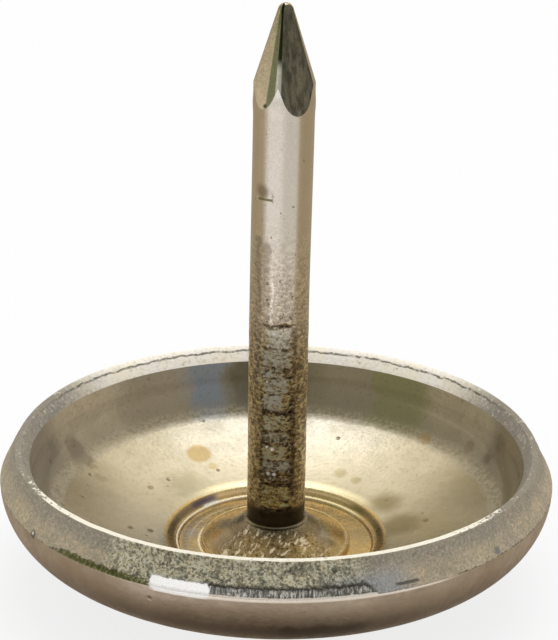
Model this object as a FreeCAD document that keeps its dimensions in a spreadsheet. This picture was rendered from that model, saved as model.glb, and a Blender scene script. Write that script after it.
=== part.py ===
"""Nail-on furniture glide: a pressed steel dish with a pointed nail welded into its middle.

The dish stands on the small flat under its dome and the nail points up.
Lengths are in millimetres, +Z is up, and the origin is on the nail's axis under the dish.
"""

import FreeCAD
import Part
import Sketcher
import math
import os

OUT_FOLDER = "parts"

# Every driving size: name, value, what it is.
SIZES = [
    ("dish_radius", 11.0, "widest radius of the dish, at the edge below the bevel"),
    ("sheet_thickness", 1.25, "thickness of the pressed sheet"),
    ("dome_radius", 21.6, "outer radius of the domed bottom"),
    ("corner_radius", 2.86, "outer radius where the dome turns up into the wall"),
    ("foot_radius", 2.5, "flat spot under the middle of the dome"),
    ("bevel_run", 0.6, "how far the outer bevel leans in from the widest edge"),
    ("bevel_rise", 1.2, "height of the outer bevel"),
    ("crest_width", 0.15, "narrow land on the crest of the rim"),
    ("chamfer_drop", 0.47, "height of the inner chamfer, from the crest down to the wall"),
    ("edge_round", 0.1, "rounding of the widest edge"),
    ("seat_height", 1.2, "floor of the recess that the nail's head sits in, above the foot"),
    ("seat_clearance", 1.0, "gap from the nail's head to the foot of the recess wall"),
    ("seat_wall_run", 0.3, "how far the recess wall leans outwards"),
    ("seat_lip_round", 0.4, "rounding of the recess lip"),
    ("nail_length", 21.9, "from the underside of the nail's head to its tip"),
    ("shank_diameter", 2.32, "nail shank"),
    ("head_diameter", 6.1, "nail head"),
    ("head_edge", 0.12, "thickness of the head at its outer edge"),
    ("neck_height", 1.05, "where the head's cone meets the shank, above the underside"),
    ("neck_round", 0.4, "fillet between the cone and the shank"),
    ("tip_round", 0.3, "radius of the blunt tip"),
    ("ridge_length", 3.1, "from the tip down to the foot of the four blunt ridges"),
    ("facet_length", 3.85, "from the tip down to the lowest end of a facet"),
    ("facet_lean", 14.2, "angle between a facet and the nail's axis, in degrees"),
    ("facet_count", 4, "facets round the point"),
    ("point_turn", 27.0, "turn of the facets about the axis from the grip flats, in degrees"),
    ("grip_start", 2.1, "lower end of the grip flats, above the underside of the head"),
    ("grip_length", 7.6, "height of the two flats pressed by the gripping die"),
    ("grip_depth", 0.14, "depth of a grip flat"),
    ("groove_start", 1.9, "from the lower end of a flat to the middle of its first groove"),
    ("groove_pitch", 0.78, "distance from one groove to the next"),
    ("groove_count", 8, "grooves on each flat"),
    ("groove_width", 0.36, "width of a groove at its mouth"),
    ("groove_floor", 0.2, "width of a groove at its floor"),
    ("groove_depth", 0.08, "depth of a groove below the flat"),
]
SIZE = {name: value for name, value, _ in SIZES}


def fill_sheet(doc):
    """Writes the driving sizes to a spreadsheet, one alias each."""
    sheet = doc.addObject("Spreadsheet::Sheet", "Dimensions")
    for row, (name, value, note) in enumerate(SIZES, start=1):
        sheet.set(f"A{row}", name)
        sheet.set(f"B{row}", str(value))
        sheet.set(f"C{row}", note)
        sheet.setAlias(f"B{row}", name)
    doc.recompute()
    return sheet


def origin_item(body, role):
    """One plane or axis of a body's own origin."""
    return next(item for item in body.Origin.OriginFeatures if item.Role == role)


def new_sketch(body, name, plane):
    """An empty sketch on one of the body's origin planes."""
    sketch = body.newObject("Sketcher::SketchObject", name)
    sketch.AttachmentSupport = [(origin_item(body, plane), "")]
    sketch.MapMode = "FlatFace"
    return sketch


def add_outline(sketch, pieces, smooth=()):
    """Adds lines and arcs that follow each other round a closed outline, and ties their ends.

    A piece is ("line", start, end) or ("arc", centre, radius, first angle, last angle, forward).
    The pieces numbered in smooth run on tangentially into the next one.
    Returns the geometry numbers in the order of the pieces.
    """
    ends = []
    for piece in pieces:
        if piece[0] == "line":
            start, end = (FreeCAD.Vector(x, y, 0) for x, y in piece[1:])
            ends.append((sketch.addGeometry(Part.LineSegment(start, end), False), 1, 2))
            continue
        _, centre, radius, first, last, forward = piece
        circle = Part.Circle(FreeCAD.Vector(*centre, 0), FreeCAD.Vector(0, 0, 1), radius)
        number = sketch.addGeometry(Part.ArcOfCircle(circle, first, last), False)
        ends.append((number, 1, 2) if forward else (number, 2, 1))
    for place, (this, following) in enumerate(zip(ends, ends[1:] + ends[:1])):
        kind = "Tangent" if place in smooth else "Coincident"
        sketch.addConstraint(Sketcher.Constraint(kind, this[0], this[2], following[0], following[1]))
    return [end[0] for end in ends]


def constrain(sketch, rules):
    """Adds geometric constraints, each written as its kind and the elements it joins."""
    for rule in rules:
        sketch.addConstraint(Sketcher.Constraint(*rule))


def drive(sketch, name, expression, kind, *where):
    """Adds a named dimension to a sketch and drives it from the spreadsheet."""
    number = sketch.addConstraint(Sketcher.Constraint(kind, *where))
    sketch.renameConstraint(number, name)
    sketch.setExpression(f"Constraints.{name}", expression)


def check_sketch(sketch):
    """Stops if a sketch still has a free dimension."""
    sketch.Document.recompute()
    if sketch.solve() != 0 or sketch.FullyConstrained is not True:
        raise ValueError(f"{sketch.Name} is not fully constrained")


def revolve(body, section, name):
    """Revolves a half section once round the body's Z axis."""
    solid = body.newObject("PartDesign::Revolution", name)
    solid.Profile = section
    solid.ReferenceAxis = (section, ["V_Axis"])
    solid.Angle = 360
    section.Visibility = False
    body.Document.recompute()
    return solid


def pocket_through(body, sketch, name, half_width):
    """Cuts a sketch right through the nail, the same way to both sides of its plane."""
    before = body.Tip.Shape.Volume
    pocket = body.newObject("PartDesign::Pocket", name)
    pocket.Profile = sketch
    pocket.SideType = "Symmetric"
    pocket.setExpression("Length", half_width)
    sketch.Visibility = False
    body.Document.recompute()
    if pocket.Shape.Volume > before - 1e-4:
        raise ValueError(f"{name} removes nothing")
    return pocket


def ring_edges(shape, radius, height, tolerance=1e-3):
    """Names of the circles about Z that have this radius and lie at this height."""
    found = []
    for number, edge in enumerate(shape.Edges, start=1):
        if edge.Degenerated or not isinstance(edge.Curve, Part.Circle):
            continue
        centre = edge.Curve.Center
        if abs(edge.Curve.Radius - radius) < tolerance and abs(centre.z - height) < tolerance:
            found.append(f"Edge{number}")
    if not found:
        raise ValueError(f"no ring of radius {radius:.3f} at height {height:.3f}")
    return found


def round_ring(body, name, size_name, radius, height):
    """Fillets one ring of a body with a radius from the spreadsheet."""
    base = body.Tip
    fillet = body.newObject("PartDesign::Fillet", name)
    fillet.Base = (base, ring_edges(base.Shape, radius, height))
    fillet.setExpression("Radius", f"Dimensions.{size_name}")
    body.Document.recompute()


def dish_places():
    """Radii, heights and angles of the dish that follow from its driving sizes."""
    dome, corner = SIZE["dome_radius"], SIZE["corner_radius"]
    inner_dome = dome - SIZE["sheet_thickness"]
    centre_z = math.sqrt(dome**2 - SIZE["foot_radius"] ** 2)
    corner_x = SIZE["dish_radius"] - corner
    corner_z = centre_z - math.sqrt((dome - corner) ** 2 - corner_x**2)
    crest_z = corner_z + SIZE["bevel_rise"]
    seat_foot = SIZE["head_diameter"] / 2 + SIZE["seat_clearance"]
    seat_lip = seat_foot + SIZE["seat_wall_run"]
    lip_z = centre_z - math.sqrt(inner_dome**2 - seat_lip**2)
    return {
        "centre": (0, centre_z),
        "corner": (corner_x, corner_z),
        "edge": (SIZE["dish_radius"], corner_z),
        "crest_out": (SIZE["dish_radius"] - SIZE["bevel_run"], crest_z),
        "crest_in": (SIZE["dish_radius"] - SIZE["bevel_run"] - SIZE["crest_width"], crest_z),
        "wall_top": (SIZE["dish_radius"] - SIZE["sheet_thickness"], crest_z - SIZE["chamfer_drop"]),
        "wall_foot": (SIZE["dish_radius"] - SIZE["sheet_thickness"], corner_z),
        "seat_lip": (seat_lip, lip_z),
        "seat_foot": (seat_foot, SIZE["seat_height"]),
        "foot_angle": math.atan2(-centre_z, SIZE["foot_radius"]),
        "join_angle": math.atan2(corner_z - centre_z, corner_x),
        "lip_angle": math.atan2(lip_z - centre_z, seat_lip),
    }


def sketch_dish_section(body, place):
    """Half section of the dish: foot, dome, corner, bevelled rim, inner face and recess."""
    outer, dome, corner = SIZE["dish_radius"], SIZE["dome_radius"], SIZE["corner_radius"]
    sheet, join = SIZE["sheet_thickness"], place["join_angle"]
    foot_end, seat_middle = (SIZE["foot_radius"], 0), (0, SIZE["seat_height"])
    section = new_sketch(body, "dish_section", "XZ_Plane")
    numbers = add_outline(
        section,
        [
            ("line", (0, 0), foot_end),
            ("arc", place["centre"], dome, place["foot_angle"], join, True),
            ("arc", place["corner"], corner, join, 0, True),
            ("line", place["edge"], place["crest_out"]),
            ("line", place["crest_out"], place["crest_in"]),
            ("line", place["crest_in"], place["wall_top"]),
            ("line", place["wall_top"], place["wall_foot"]),
            ("arc", place["corner"], corner - sheet, join, 0, False),
            ("arc", place["centre"], dome - sheet, place["lip_angle"], join, False),
            ("line", place["seat_lip"], place["seat_foot"]),
            ("line", place["seat_foot"], seat_middle),
            ("line", seat_middle, (0, 0)),
        ],
        smooth=(1, 7),
    )
    foot, dome_out, corner_out, bevel, crest, chamfer, wall, corner_in, dome_in, rise, seat, axis = numbers
    constrain(
        section,
        [
            ("Coincident", foot, 1, -1, 1),
            ("Horizontal", foot),
            ("Horizontal", crest),
            ("Horizontal", seat),
            ("Vertical", axis),
            ("Vertical", wall),
            ("PointOnObject", dome_out, 3, -2),
            ("Coincident", dome_in, 3, dome_out, 3),
            ("Coincident", corner_in, 3, corner_out, 3),
            ("Horizontal", corner_out, 3, corner_out, 2),
            ("Horizontal", corner_in, 3, corner_in, 2),
        ],
    )
    seat_x, lip_x = place["seat_foot"][0], place["seat_lip"][0]
    size = "Dimensions."
    drive(section, "foot", size + "foot_radius", "DistanceX", foot, 1, foot, 2, foot_end[0])
    drive(section, "dome", size + "dome_radius", "Radius", dome_out, dome)
    drive(section, "corner", size + "corner_radius", "Radius", corner_out, corner)
    drive(section, "width", size + "dish_radius", "DistanceX", -1, 1, bevel, 1, outer)
    drive(section, "sheet", size + "sheet_thickness", "DistanceX", wall, 2, bevel, 1, sheet)
    drive(section, "bevel_in", size + "bevel_run", "DistanceX", bevel, 2, bevel, 1, SIZE["bevel_run"])
    drive(section, "bevel_up", size + "bevel_rise", "DistanceY", bevel, 1, bevel, 2, SIZE["bevel_rise"])
    drive(section, "crest", size + "crest_width", "DistanceX", crest, 2, crest, 1, SIZE["crest_width"])
    drop = SIZE["chamfer_drop"]
    drive(section, "chamfer", size + "chamfer_drop", "DistanceY", chamfer, 2, chamfer, 1, drop)
    drive(section, "seat", size + "seat_height", "DistanceY", -1, 1, seat, 2, SIZE["seat_height"])
    drive(section, "seat_wall", size + "seat_wall_run", "DistanceX", rise, 2, rise, 1, lip_x - seat_x)
    head_room = f"{size}head_diameter / 2 + {size}seat_clearance"
    drive(section, "seat_radius", head_room, "DistanceX", seat, 2, seat, 1, seat_x)
    check_sketch(section)
    return section


def build_dish(doc):
    """The pressed dish: one revolved section with its rings rounded."""
    body = doc.addObject("PartDesign::Body", "Dish")
    body.Label = "dish"
    place = dish_places()
    revolve(body, sketch_dish_section(body, place), "pressed_bowl")
    round_ring(body, "rounded_edge", "edge_round", *place["edge"])
    round_ring(body, "rounded_lip", "seat_lip_round", *place["seat_lip"])
    return body


def sketch_nail_section(body):
    """Half section of the nail: flat head, cone, shank, ridge cone and blunt tip."""
    shank, head, length = SIZE["shank_diameter"] / 2, SIZE["head_diameter"] / 2, SIZE["nail_length"]
    edge, neck, tip = SIZE["head_edge"], SIZE["neck_height"], SIZE["tip_round"]
    ridge_z, ball_z = length - SIZE["ridge_length"], length - tip
    touch = math.atan2(ridge_z - ball_z, shank) + math.acos(tip / math.hypot(shank, ridge_z - ball_z))
    touch_point = (tip * math.cos(touch), ball_z + tip * math.sin(touch))
    section = new_sketch(body, "nail_section", "XZ_Plane")
    under, rim, cone, side, ridge, ball, axis = add_outline(
        section,
        [
            ("line", (0, 0), (head, 0)),
            ("line", (head, 0), (head, edge)),
            ("line", (head, edge), (shank, neck)),
            ("line", (shank, neck), (shank, ridge_z)),
            ("line", (shank, ridge_z), touch_point),
            ("arc", (0, ball_z), tip, touch, math.pi / 2, True),
            ("line", (0, length), (0, 0)),
        ],
        smooth=(4,),
    )
    constrain(
        section,
        [
            ("Coincident", under, 1, -1, 1),
            ("Horizontal", under),
            ("Vertical", rim),
            ("Vertical", side),
            ("Vertical", axis),
            ("PointOnObject", ball, 3, -2),
        ],
    )
    size = "Dimensions."
    drive(section, "head", size + "head_diameter / 2", "DistanceX", under, 1, under, 2, head)
    drive(section, "edge", size + "head_edge", "DistanceY", rim, 1, rim, 2, edge)
    drive(section, "neck", size + "neck_height", "DistanceY", -1, 1, cone, 2, neck)
    drive(section, "shank", size + "shank_diameter / 2", "DistanceX", -1, 1, side, 2, shank)
    drive(section, "length", size + "nail_length", "DistanceY", -1, 1, ball, 2, length)
    drive(section, "ridge", size + "ridge_length", "DistanceY", side, 2, ball, 2, SIZE["ridge_length"])
    drive(section, "tip", size + "tip_round", "Radius", ball, tip)
    check_sketch(section)
    return section


def cut_point(body):
    """Four flat facets on the point, turned away from the grip flats."""
    shank, length, below = SIZE["shank_diameter"] / 2, SIZE["nail_length"], SIZE["facet_length"]
    foot_z, top_z = length - below, length + SIZE["tip_round"]
    lean = math.radians(SIZE["facet_lean"])
    foot, top = (shank, foot_z), (shank - (top_z - foot_z) * math.tan(lean), top_z)
    outside = 2 * shank
    sketch = new_sketch(body, "facet_outline", "XZ_Plane")
    lower, far, upper, facet = add_outline(
        sketch,
        [
            ("line", foot, (outside, foot_z)),
            ("line", (outside, foot_z), (outside, top_z)),
            ("line", (outside, top_z), top),
            ("line", top, foot),
        ],
    )
    constrain(sketch, [("Horizontal", lower), ("Vertical", far), ("Horizontal", upper)])
    size = "Dimensions."
    foot_height = f"{size}nail_length - {size}facet_length"
    above_tip = f"{size}facet_length + {size}tip_round"
    drive(sketch, "foot_x", size + "shank_diameter / 2", "DistanceX", -1, 1, lower, 1, shank)
    drive(sketch, "foot_z", foot_height, "DistanceY", -1, 1, lower, 1, foot_z)
    drive(sketch, "outside", size + "shank_diameter", "DistanceX", -1, 1, lower, 2, outside)
    drive(sketch, "height", above_tip, "DistanceY", far, 1, far, 2, top_z - foot_z)
    drive(sketch, "lean", f"270 deg + {size}facet_lean * 1 deg", "Angle", facet, 1.5 * math.pi + lean)
    sketch.AttachmentOffset = FreeCAD.Placement(
        FreeCAD.Vector(), FreeCAD.Rotation(FreeCAD.Vector(0, 1, 0), SIZE["point_turn"])
    )
    sketch.setExpression("AttachmentOffset.Rotation.Angle", size + "point_turn * 1 deg")
    check_sketch(sketch)
    facet_cut = pocket_through(body, sketch, "facet", "Dimensions.shank_diameter * 2")
    ring = body.newObject("PartDesign::PolarPattern", "facet_ring")
    ring.Originals = [facet_cut]
    ring.Axis = (origin_item(body, "Z_Axis"), [""])
    ring.Angle = 360
    ring.setExpression("Occurrences", size + "facet_count")
    body.Tip = ring
    body.Document.recompute()


def cut_grip_flats(body):
    """The two flats that the gripping die presses, on the front and the back of the shank."""
    shank, start, height = SIZE["shank_diameter"] / 2, SIZE["grip_start"], SIZE["grip_length"]
    near, outside = shank - SIZE["grip_depth"], 2 * shank
    sketch = new_sketch(body, "grip_outline", "YZ_Plane")
    size = "Dimensions."
    for side, label in ((1, "back"), (-1, "front")):
        corners = [(near, start), (outside, start), (outside, start + height), (near, start + height)]
        corners = [(side * y, z) for y, z in corners]
        lines = [("line", a, b) for a, b in zip(corners, corners[1:] + corners[:1])]
        low, far, high, flat = add_outline(sketch, lines)
        constrain(sketch, [("Horizontal", low), ("Vertical", far), ("Horizontal", high), ("Vertical", flat)])
        flat_depth = f"{size}shank_diameter / 2 - {size}grip_depth"
        across = ((-1, 1, low, 1), (-1, 1, low, 2)) if side > 0 else ((low, 1, -1, 1), (low, 2, -1, 1))
        drive(sketch, f"{label}_flat", flat_depth, "DistanceX", *across[0], near)
        drive(sketch, f"{label}_outside", size + "shank_diameter", "DistanceX", *across[1], outside)
        drive(sketch, f"{label}_start", size + "grip_start", "DistanceY", -1, 1, low, 1, start)
        drive(sketch, f"{label}_height", size + "grip_length", "DistanceY", far, 1, far, 2, height)
    check_sketch(sketch)
    pocket_through(body, sketch, "grip_flats", "Dimensions.shank_diameter * 2")


def cut_grip_grooves(body):
    """A row of shallow cross grooves on each grip flat."""
    flat, depth = SIZE["shank_diameter"] / 2 - SIZE["grip_depth"], SIZE["groove_depth"]
    middle = SIZE["grip_start"] + SIZE["groove_start"]
    mouth, floor = SIZE["groove_width"] / 2, SIZE["groove_floor"] / 2
    sketch = new_sketch(body, "groove_outline", "YZ_Plane")
    size = "Dimensions."
    mouth_x = f"{size}shank_diameter / 2 - {size}grip_depth"
    floor_x = f"{mouth_x} - {size}groove_depth"
    middle_z = f"{size}grip_start + {size}groove_start"
    for side, label in ((1, "back"), (-1, "front")):
        corners = [
            (side * flat, middle - mouth),
            (side * flat, middle + mouth),
            (side * (flat - depth), middle + floor),
            (side * (flat - depth), middle - floor),
        ]
        lines = [("line", a, b) for a, b in zip(corners, corners[1:] + corners[:1])]
        open_side, _, shut_side, _ = add_outline(sketch, lines)
        constrain(sketch, [("Vertical", open_side), ("Vertical", shut_side)])
        across = ((-1, 1, open_side, 1), (-1, 1, shut_side, 1))
        if side < 0:
            across = ((open_side, 1, -1, 1), (shut_side, 1, -1, 1))
        drive(sketch, f"{label}_mouth_x", mouth_x, "DistanceX", *across[0], flat)
        drive(sketch, f"{label}_floor_x", floor_x, "DistanceX", *across[1], flat - depth)
        drive(
            sketch, f"{label}_mouth", size + "groove_width",
            "DistanceY", open_side, 1, open_side, 2, 2 * mouth,
        )
        drive(
            sketch, f"{label}_floor", size + "groove_floor",
            "DistanceY", shut_side, 2, shut_side, 1, 2 * floor,
        )
        drive(
            sketch, f"{label}_mouth_z", f"{middle_z} - {size}groove_width / 2",
            "DistanceY", -1, 1, open_side, 1, middle - mouth,
        )
        drive(
            sketch, f"{label}_floor_z", f"{middle_z} - {size}groove_floor / 2",
            "DistanceY", -1, 1, shut_side, 2, middle - floor,
        )
    check_sketch(sketch)
    groove = pocket_through(body, sketch, "groove", "Dimensions.shank_diameter * 2")
    row = body.newObject("PartDesign::LinearPattern", "groove_row")
    row.Originals = [groove]
    row.Direction = (origin_item(body, "Z_Axis"), [""])
    row.setExpression("Length", f"({size}groove_count - 1) * {size}groove_pitch")
    row.setExpression("Occurrences", size + "groove_count")
    body.Tip = row
    body.Document.recompute()


def build_nail(doc):
    """The nail: head, cone and shank in one turned section, then the point and the grip marks."""
    body = doc.addObject("PartDesign::Body", "Nail")
    body.Label = "nail"
    revolve(body, sketch_nail_section(body), "turned_nail")
    round_ring(body, "rounded_neck", "neck_round", SIZE["shank_diameter"] / 2, SIZE["neck_height"])
    cut_point(body)
    cut_grip_flats(body)
    cut_grip_grooves(body)
    body.Placement = FreeCAD.Placement(FreeCAD.Vector(0, 0, SIZE["seat_height"]), FreeCAD.Rotation())
    body.setExpression("Placement.Base.z", "Dimensions.seat_height")
    return body


def check_document(doc):
    """Stops if a recomputed object is in error or a solid isn't valid."""
    doc.recompute()
    for item in doc.Objects:
        if "Invalid" in item.State or "Error" in item.State:
            raise ValueError(f"{item.Name}: {item.State}")
        if item.TypeId.startswith("PartDesign::") and item.TypeId != "PartDesign::CoordinateSystem":
            if item.Shape.isNull() or not item.Shape.isValid():
                raise ValueError(f"{item.Name} has no valid shape")


def main():
    """Builds the glide and writes one STEP file per sub-part."""
    doc = FreeCAD.newDocument("furniture_glide")
    fill_sheet(doc)
    bodies = [build_dish(doc), build_nail(doc)]
    check_document(doc)
    os.makedirs(OUT_FOLDER, exist_ok=True)
    for body in bodies:
        body.Shape.exportStep(f"{OUT_FOLDER}/{body.Label}.step")
        print(f"{body.Label}: {body.Shape.Volume:.2f} mm3")


main()
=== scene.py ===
"""A nail-on furniture glide: a pressed, nickel-plated steel dish with a pointed nail in its middle.

Shapes are drawn in millimetres and each finished piece is brought down to metres, in the frame's own place.
"""

import logging
import math
from collections.abc import Callable, Sequence
from dataclasses import dataclass
from enum import Enum

import bpy
from mathutils import Matrix, Vector

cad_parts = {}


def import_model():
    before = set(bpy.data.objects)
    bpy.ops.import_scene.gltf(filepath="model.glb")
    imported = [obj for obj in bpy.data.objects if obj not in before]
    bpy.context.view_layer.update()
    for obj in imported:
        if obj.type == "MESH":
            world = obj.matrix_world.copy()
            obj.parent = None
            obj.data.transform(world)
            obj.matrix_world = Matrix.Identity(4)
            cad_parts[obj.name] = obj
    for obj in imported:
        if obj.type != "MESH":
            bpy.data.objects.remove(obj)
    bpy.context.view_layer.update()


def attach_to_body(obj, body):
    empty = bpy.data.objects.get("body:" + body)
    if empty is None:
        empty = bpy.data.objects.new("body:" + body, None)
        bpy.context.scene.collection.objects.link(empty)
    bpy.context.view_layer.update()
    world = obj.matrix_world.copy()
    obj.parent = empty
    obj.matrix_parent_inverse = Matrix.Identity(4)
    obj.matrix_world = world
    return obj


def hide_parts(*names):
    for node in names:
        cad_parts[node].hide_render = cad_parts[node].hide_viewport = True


LOG = logging.getLogger("furniture_glide")
METRES_PER_MM = 0.001
FULL_TURN = 2.0 * math.pi
SMALLEST = 1e-6
MERGE_BELOW = 1e-4
LIGHTEST = 1e-3
FLOOR_GAP = 0.00002
DOUBLINGS = 4

Colour = tuple[float, float, float]
Point = tuple[float, float]
Rule = Callable[[Vector, Vector], float]
Stops = Sequence[tuple[float, Colour]]
Piece = bpy.types.Object
Tree = bpy.types.NodeTree
Node = bpy.types.Node
Socket = bpy.types.NodeSocket
Material = bpy.types.Material
Pattern = bpy.types.Texture


def bearing(x: float, y: float) -> float:
    """Angle round the nail in degrees: 0 towards the viewer of the photograph, + to the right.

    Args:
        x: Distance to the right of the axis.
        y: Distance behind the axis.

    Returns:
        The angle, from -180 to 180.
    """
    return math.degrees(math.atan2(x, -y))


def step(value: float, low: float, high: float) -> float:
    """Smooth step from 0 at low to 1 at high; high may be the smaller one."""
    t = min(1.0, max(0.0, (value - low) / (high - low)))
    return t * t * (3.0 - 2.0 * t)


def hump(value: float, centre: float, half_width: float) -> float:
    """Smooth hump of height 1 about centre, 0 beyond half_width."""
    return step(abs(value - centre), half_width, 0.0)


class Outline:
    """Half section of a turned piece, as points of radius and height."""

    def __init__(self, radius: float, height: float) -> None:
        """Starts the outline at one point."""
        self.points: list[Point] = [(radius, height)]

    def line(self, radius: float, height: float, steps: int = 1) -> "Outline":
        """Runs straight to a point in a number of steps."""
        r0, z0 = self.points[-1]
        for i in range(1, steps + 1):
            t = i / steps
            self.points.append((r0 + (radius - r0) * t, z0 + (height - z0) * t))
        return self

    def arc(self, centre: Point, radius: float, first: float, last: float, steps: int) -> "Outline":
        """Runs round an arc; angles are in degrees, 0 pointing outwards and 90 up.

        Args:
            centre: Radius and height of the arc's centre.
            radius: The arc's radius.
            first: Angle of its first point.
            last: Angle of its last point.
            steps: Number of short runs it is made of.

        Returns:
            The outline itself.
        """
        for i in range(steps + 1):
            angle = math.radians(first + (last - first) * i / steps)
            spot = (centre[0] + radius * math.cos(angle), centre[1] + radius * math.sin(angle))
            if math.dist(spot, self.points[-1]) > MERGE_BELOW:
                self.points.append(spot)
        return self


def deselect() -> None:
    """Leaves edit mode and deselects every object."""
    if bpy.context.object and bpy.context.object.mode != "OBJECT":
        bpy.ops.object.mode_set(mode="OBJECT")
    bpy.ops.object.select_all(action="DESELECT")


def activate(piece: Piece) -> None:
    """Selects one object alone and makes it the active one."""
    deselect()
    piece.select_set(True)
    bpy.context.view_layer.objects.active = piece


def turn(name: str, outline: Outline, segments: int) -> Piece:
    """Lathes a half section into a closed solid.

    Args:
        name: Name of the new piece.
        outline: Half section that starts and ends on the axis.
        segments: Faces round the piece, a multiple of 16.

    Returns:
        The new object, in millimetres.
    """
    deselect()
    bpy.ops.mesh.primitive_plane_add(size=1.0, location=(0.0, 0.0, 0.0))
    piece = bpy.context.object
    piece.name = name
    piece.data.name = name
    bpy.ops.object.mode_set(mode="EDIT")
    bpy.ops.mesh.select_all(action="SELECT")
    bpy.ops.mesh.merge(type="CENTER")
    radius, height = outline.points[0]
    bpy.ops.transform.translate(value=(radius, 0.0, height))
    for (r0, z0), (r1, z1) in zip(outline.points, outline.points[1:]):
        bpy.ops.mesh.extrude_vertices_move(TRANSFORM_OT_translate={"value": (r1 - r0, 0.0, z1 - z0)})
    wedges = 2**DOUBLINGS
    wedge = FULL_TURN / wedges
    bpy.ops.mesh.select_all(action="SELECT")
    bpy.ops.mesh.spin(steps=segments // wedges, angle=wedge, center=(0.0, 0.0, 0.0), axis=(0.0, 0.0, 1.0))
    for doubling in range(DOUBLINGS):
        bpy.ops.mesh.select_all(action="SELECT")
        bpy.ops.mesh.duplicate()
        bpy.ops.transform.rotate(
            value=wedge * 2**doubling, orient_axis="Z", orient_type="GLOBAL", center_override=(0.0, 0.0, 0.0)
        )
    bpy.ops.mesh.select_all(action="SELECT")
    bpy.ops.mesh.remove_doubles(threshold=MERGE_BELOW)
    bpy.ops.mesh.normals_make_consistent(inside=False)
    bpy.ops.object.mode_set(mode="OBJECT")
    return piece


def weigh(piece: Piece, name: str, rule: Rule) -> str:
    """Makes a vertex group whose weights follow a rule of place and normal.

    Args:
        piece: The piece to mark.
        name: Name of the new group.
        rule: Gives a weight from 0 to 1 for a vertex's place and normal.

    Returns:
        The group's name.
    """
    group = piece.vertex_groups.new(name=name)
    for vertex in piece.data.vertices:
        weight = rule(vertex.co, vertex.normal)
        if weight > LIGHTEST:
            group.add([vertex.index], min(1.0, weight), "REPLACE")
    return group.name


def press(
    piece: Piece,
    group: str,
    depth: float,
    direction: str = "NORMAL",
    pattern: Pattern | None = None,
    middle: float = 0.5,
) -> None:
    """Moves the marked vertices, evenly or by a pattern, and drops the mark.

    Args:
        piece: The piece to shape.
        group: Its vertex group to move.
        depth: How far a full weight moves outwards, in millimetres; negative presses in.
        direction: Direction of the move, in the modifier's own words.
        pattern: Procedural pattern that scales the move, or none for an even one.
        middle: Value of the pattern that doesn't move.
    """
    activate(piece)
    shaper = piece.modifiers.new("press", "DISPLACE")
    shaper.direction = direction
    shaper.space = "LOCAL"
    shaper.strength = depth
    shaper.vertex_group = group
    shaper.mid_level = 0.0 if pattern is None else middle
    if pattern is not None:
        shaper.texture = pattern
        shaper.texture_coords = "LOCAL"
    bpy.ops.object.modifier_apply(modifier=shaper.name)
    piece.vertex_groups.remove(piece.vertex_groups[group])


def clouds(name: str, size: float, depth: int) -> Pattern:
    """A cloudy pattern for pressing, with lumps of about the given size in millimetres."""
    pattern = bpy.data.textures.new(name, "CLOUDS")
    pattern.noise_scale = size
    pattern.noise_depth = depth
    pattern.noise_basis = "IMPROVED_PERLIN"
    return pattern


def finish_piece(piece: Piece, smooth_below: float) -> None:
    """Shades a piece and brings it down to metres with its place in its mesh.

    Args:
        piece: The piece, in millimetres.
        smooth_below: Edges that turn less than this many degrees look smooth.
    """
    activate(piece)
    bpy.ops.object.shade_smooth_by_angle(angle=math.radians(smooth_below))
    piece.scale = (METRES_PER_MM,) * 3
    bpy.ops.object.transform_apply(location=True, rotation=True, scale=True)
    LOG.info("%s: %d faces", piece.name, len(piece.data.polygons))


class Value:
    """An output of a node that takes plain arithmetic; each operation adds one Math node."""

    def __init__(self, graph: "Graph", socket: Socket) -> None:
        """Keeps the graph and the socket."""
        self.graph = graph
        self.socket = socket

    def __add__(self, other: object) -> "Value":
        """Adds on the right."""
        return self.graph.math("ADD", self, other)

    def __radd__(self, other: object) -> "Value":
        """Adds to a plain number."""
        return self.graph.math("ADD", other, self)

    def __sub__(self, other: object) -> "Value":
        """Takes away on the right."""
        return self.graph.math("SUBTRACT", self, other)

    def __rsub__(self, other: object) -> "Value":
        """Is taken away from a plain number."""
        return self.graph.math("SUBTRACT", other, self)

    def __mul__(self, other: object) -> "Value":
        """Multiplies."""
        return self.graph.math("MULTIPLY", self, other)

    def __truediv__(self, other: object) -> "Value":
        """Divides by what follows."""
        return self.graph.math("DIVIDE", self, other)

    def __abs__(self) -> "Value":
        """Drops the sign."""
        return self.graph.math("ABSOLUTE", self)


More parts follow.
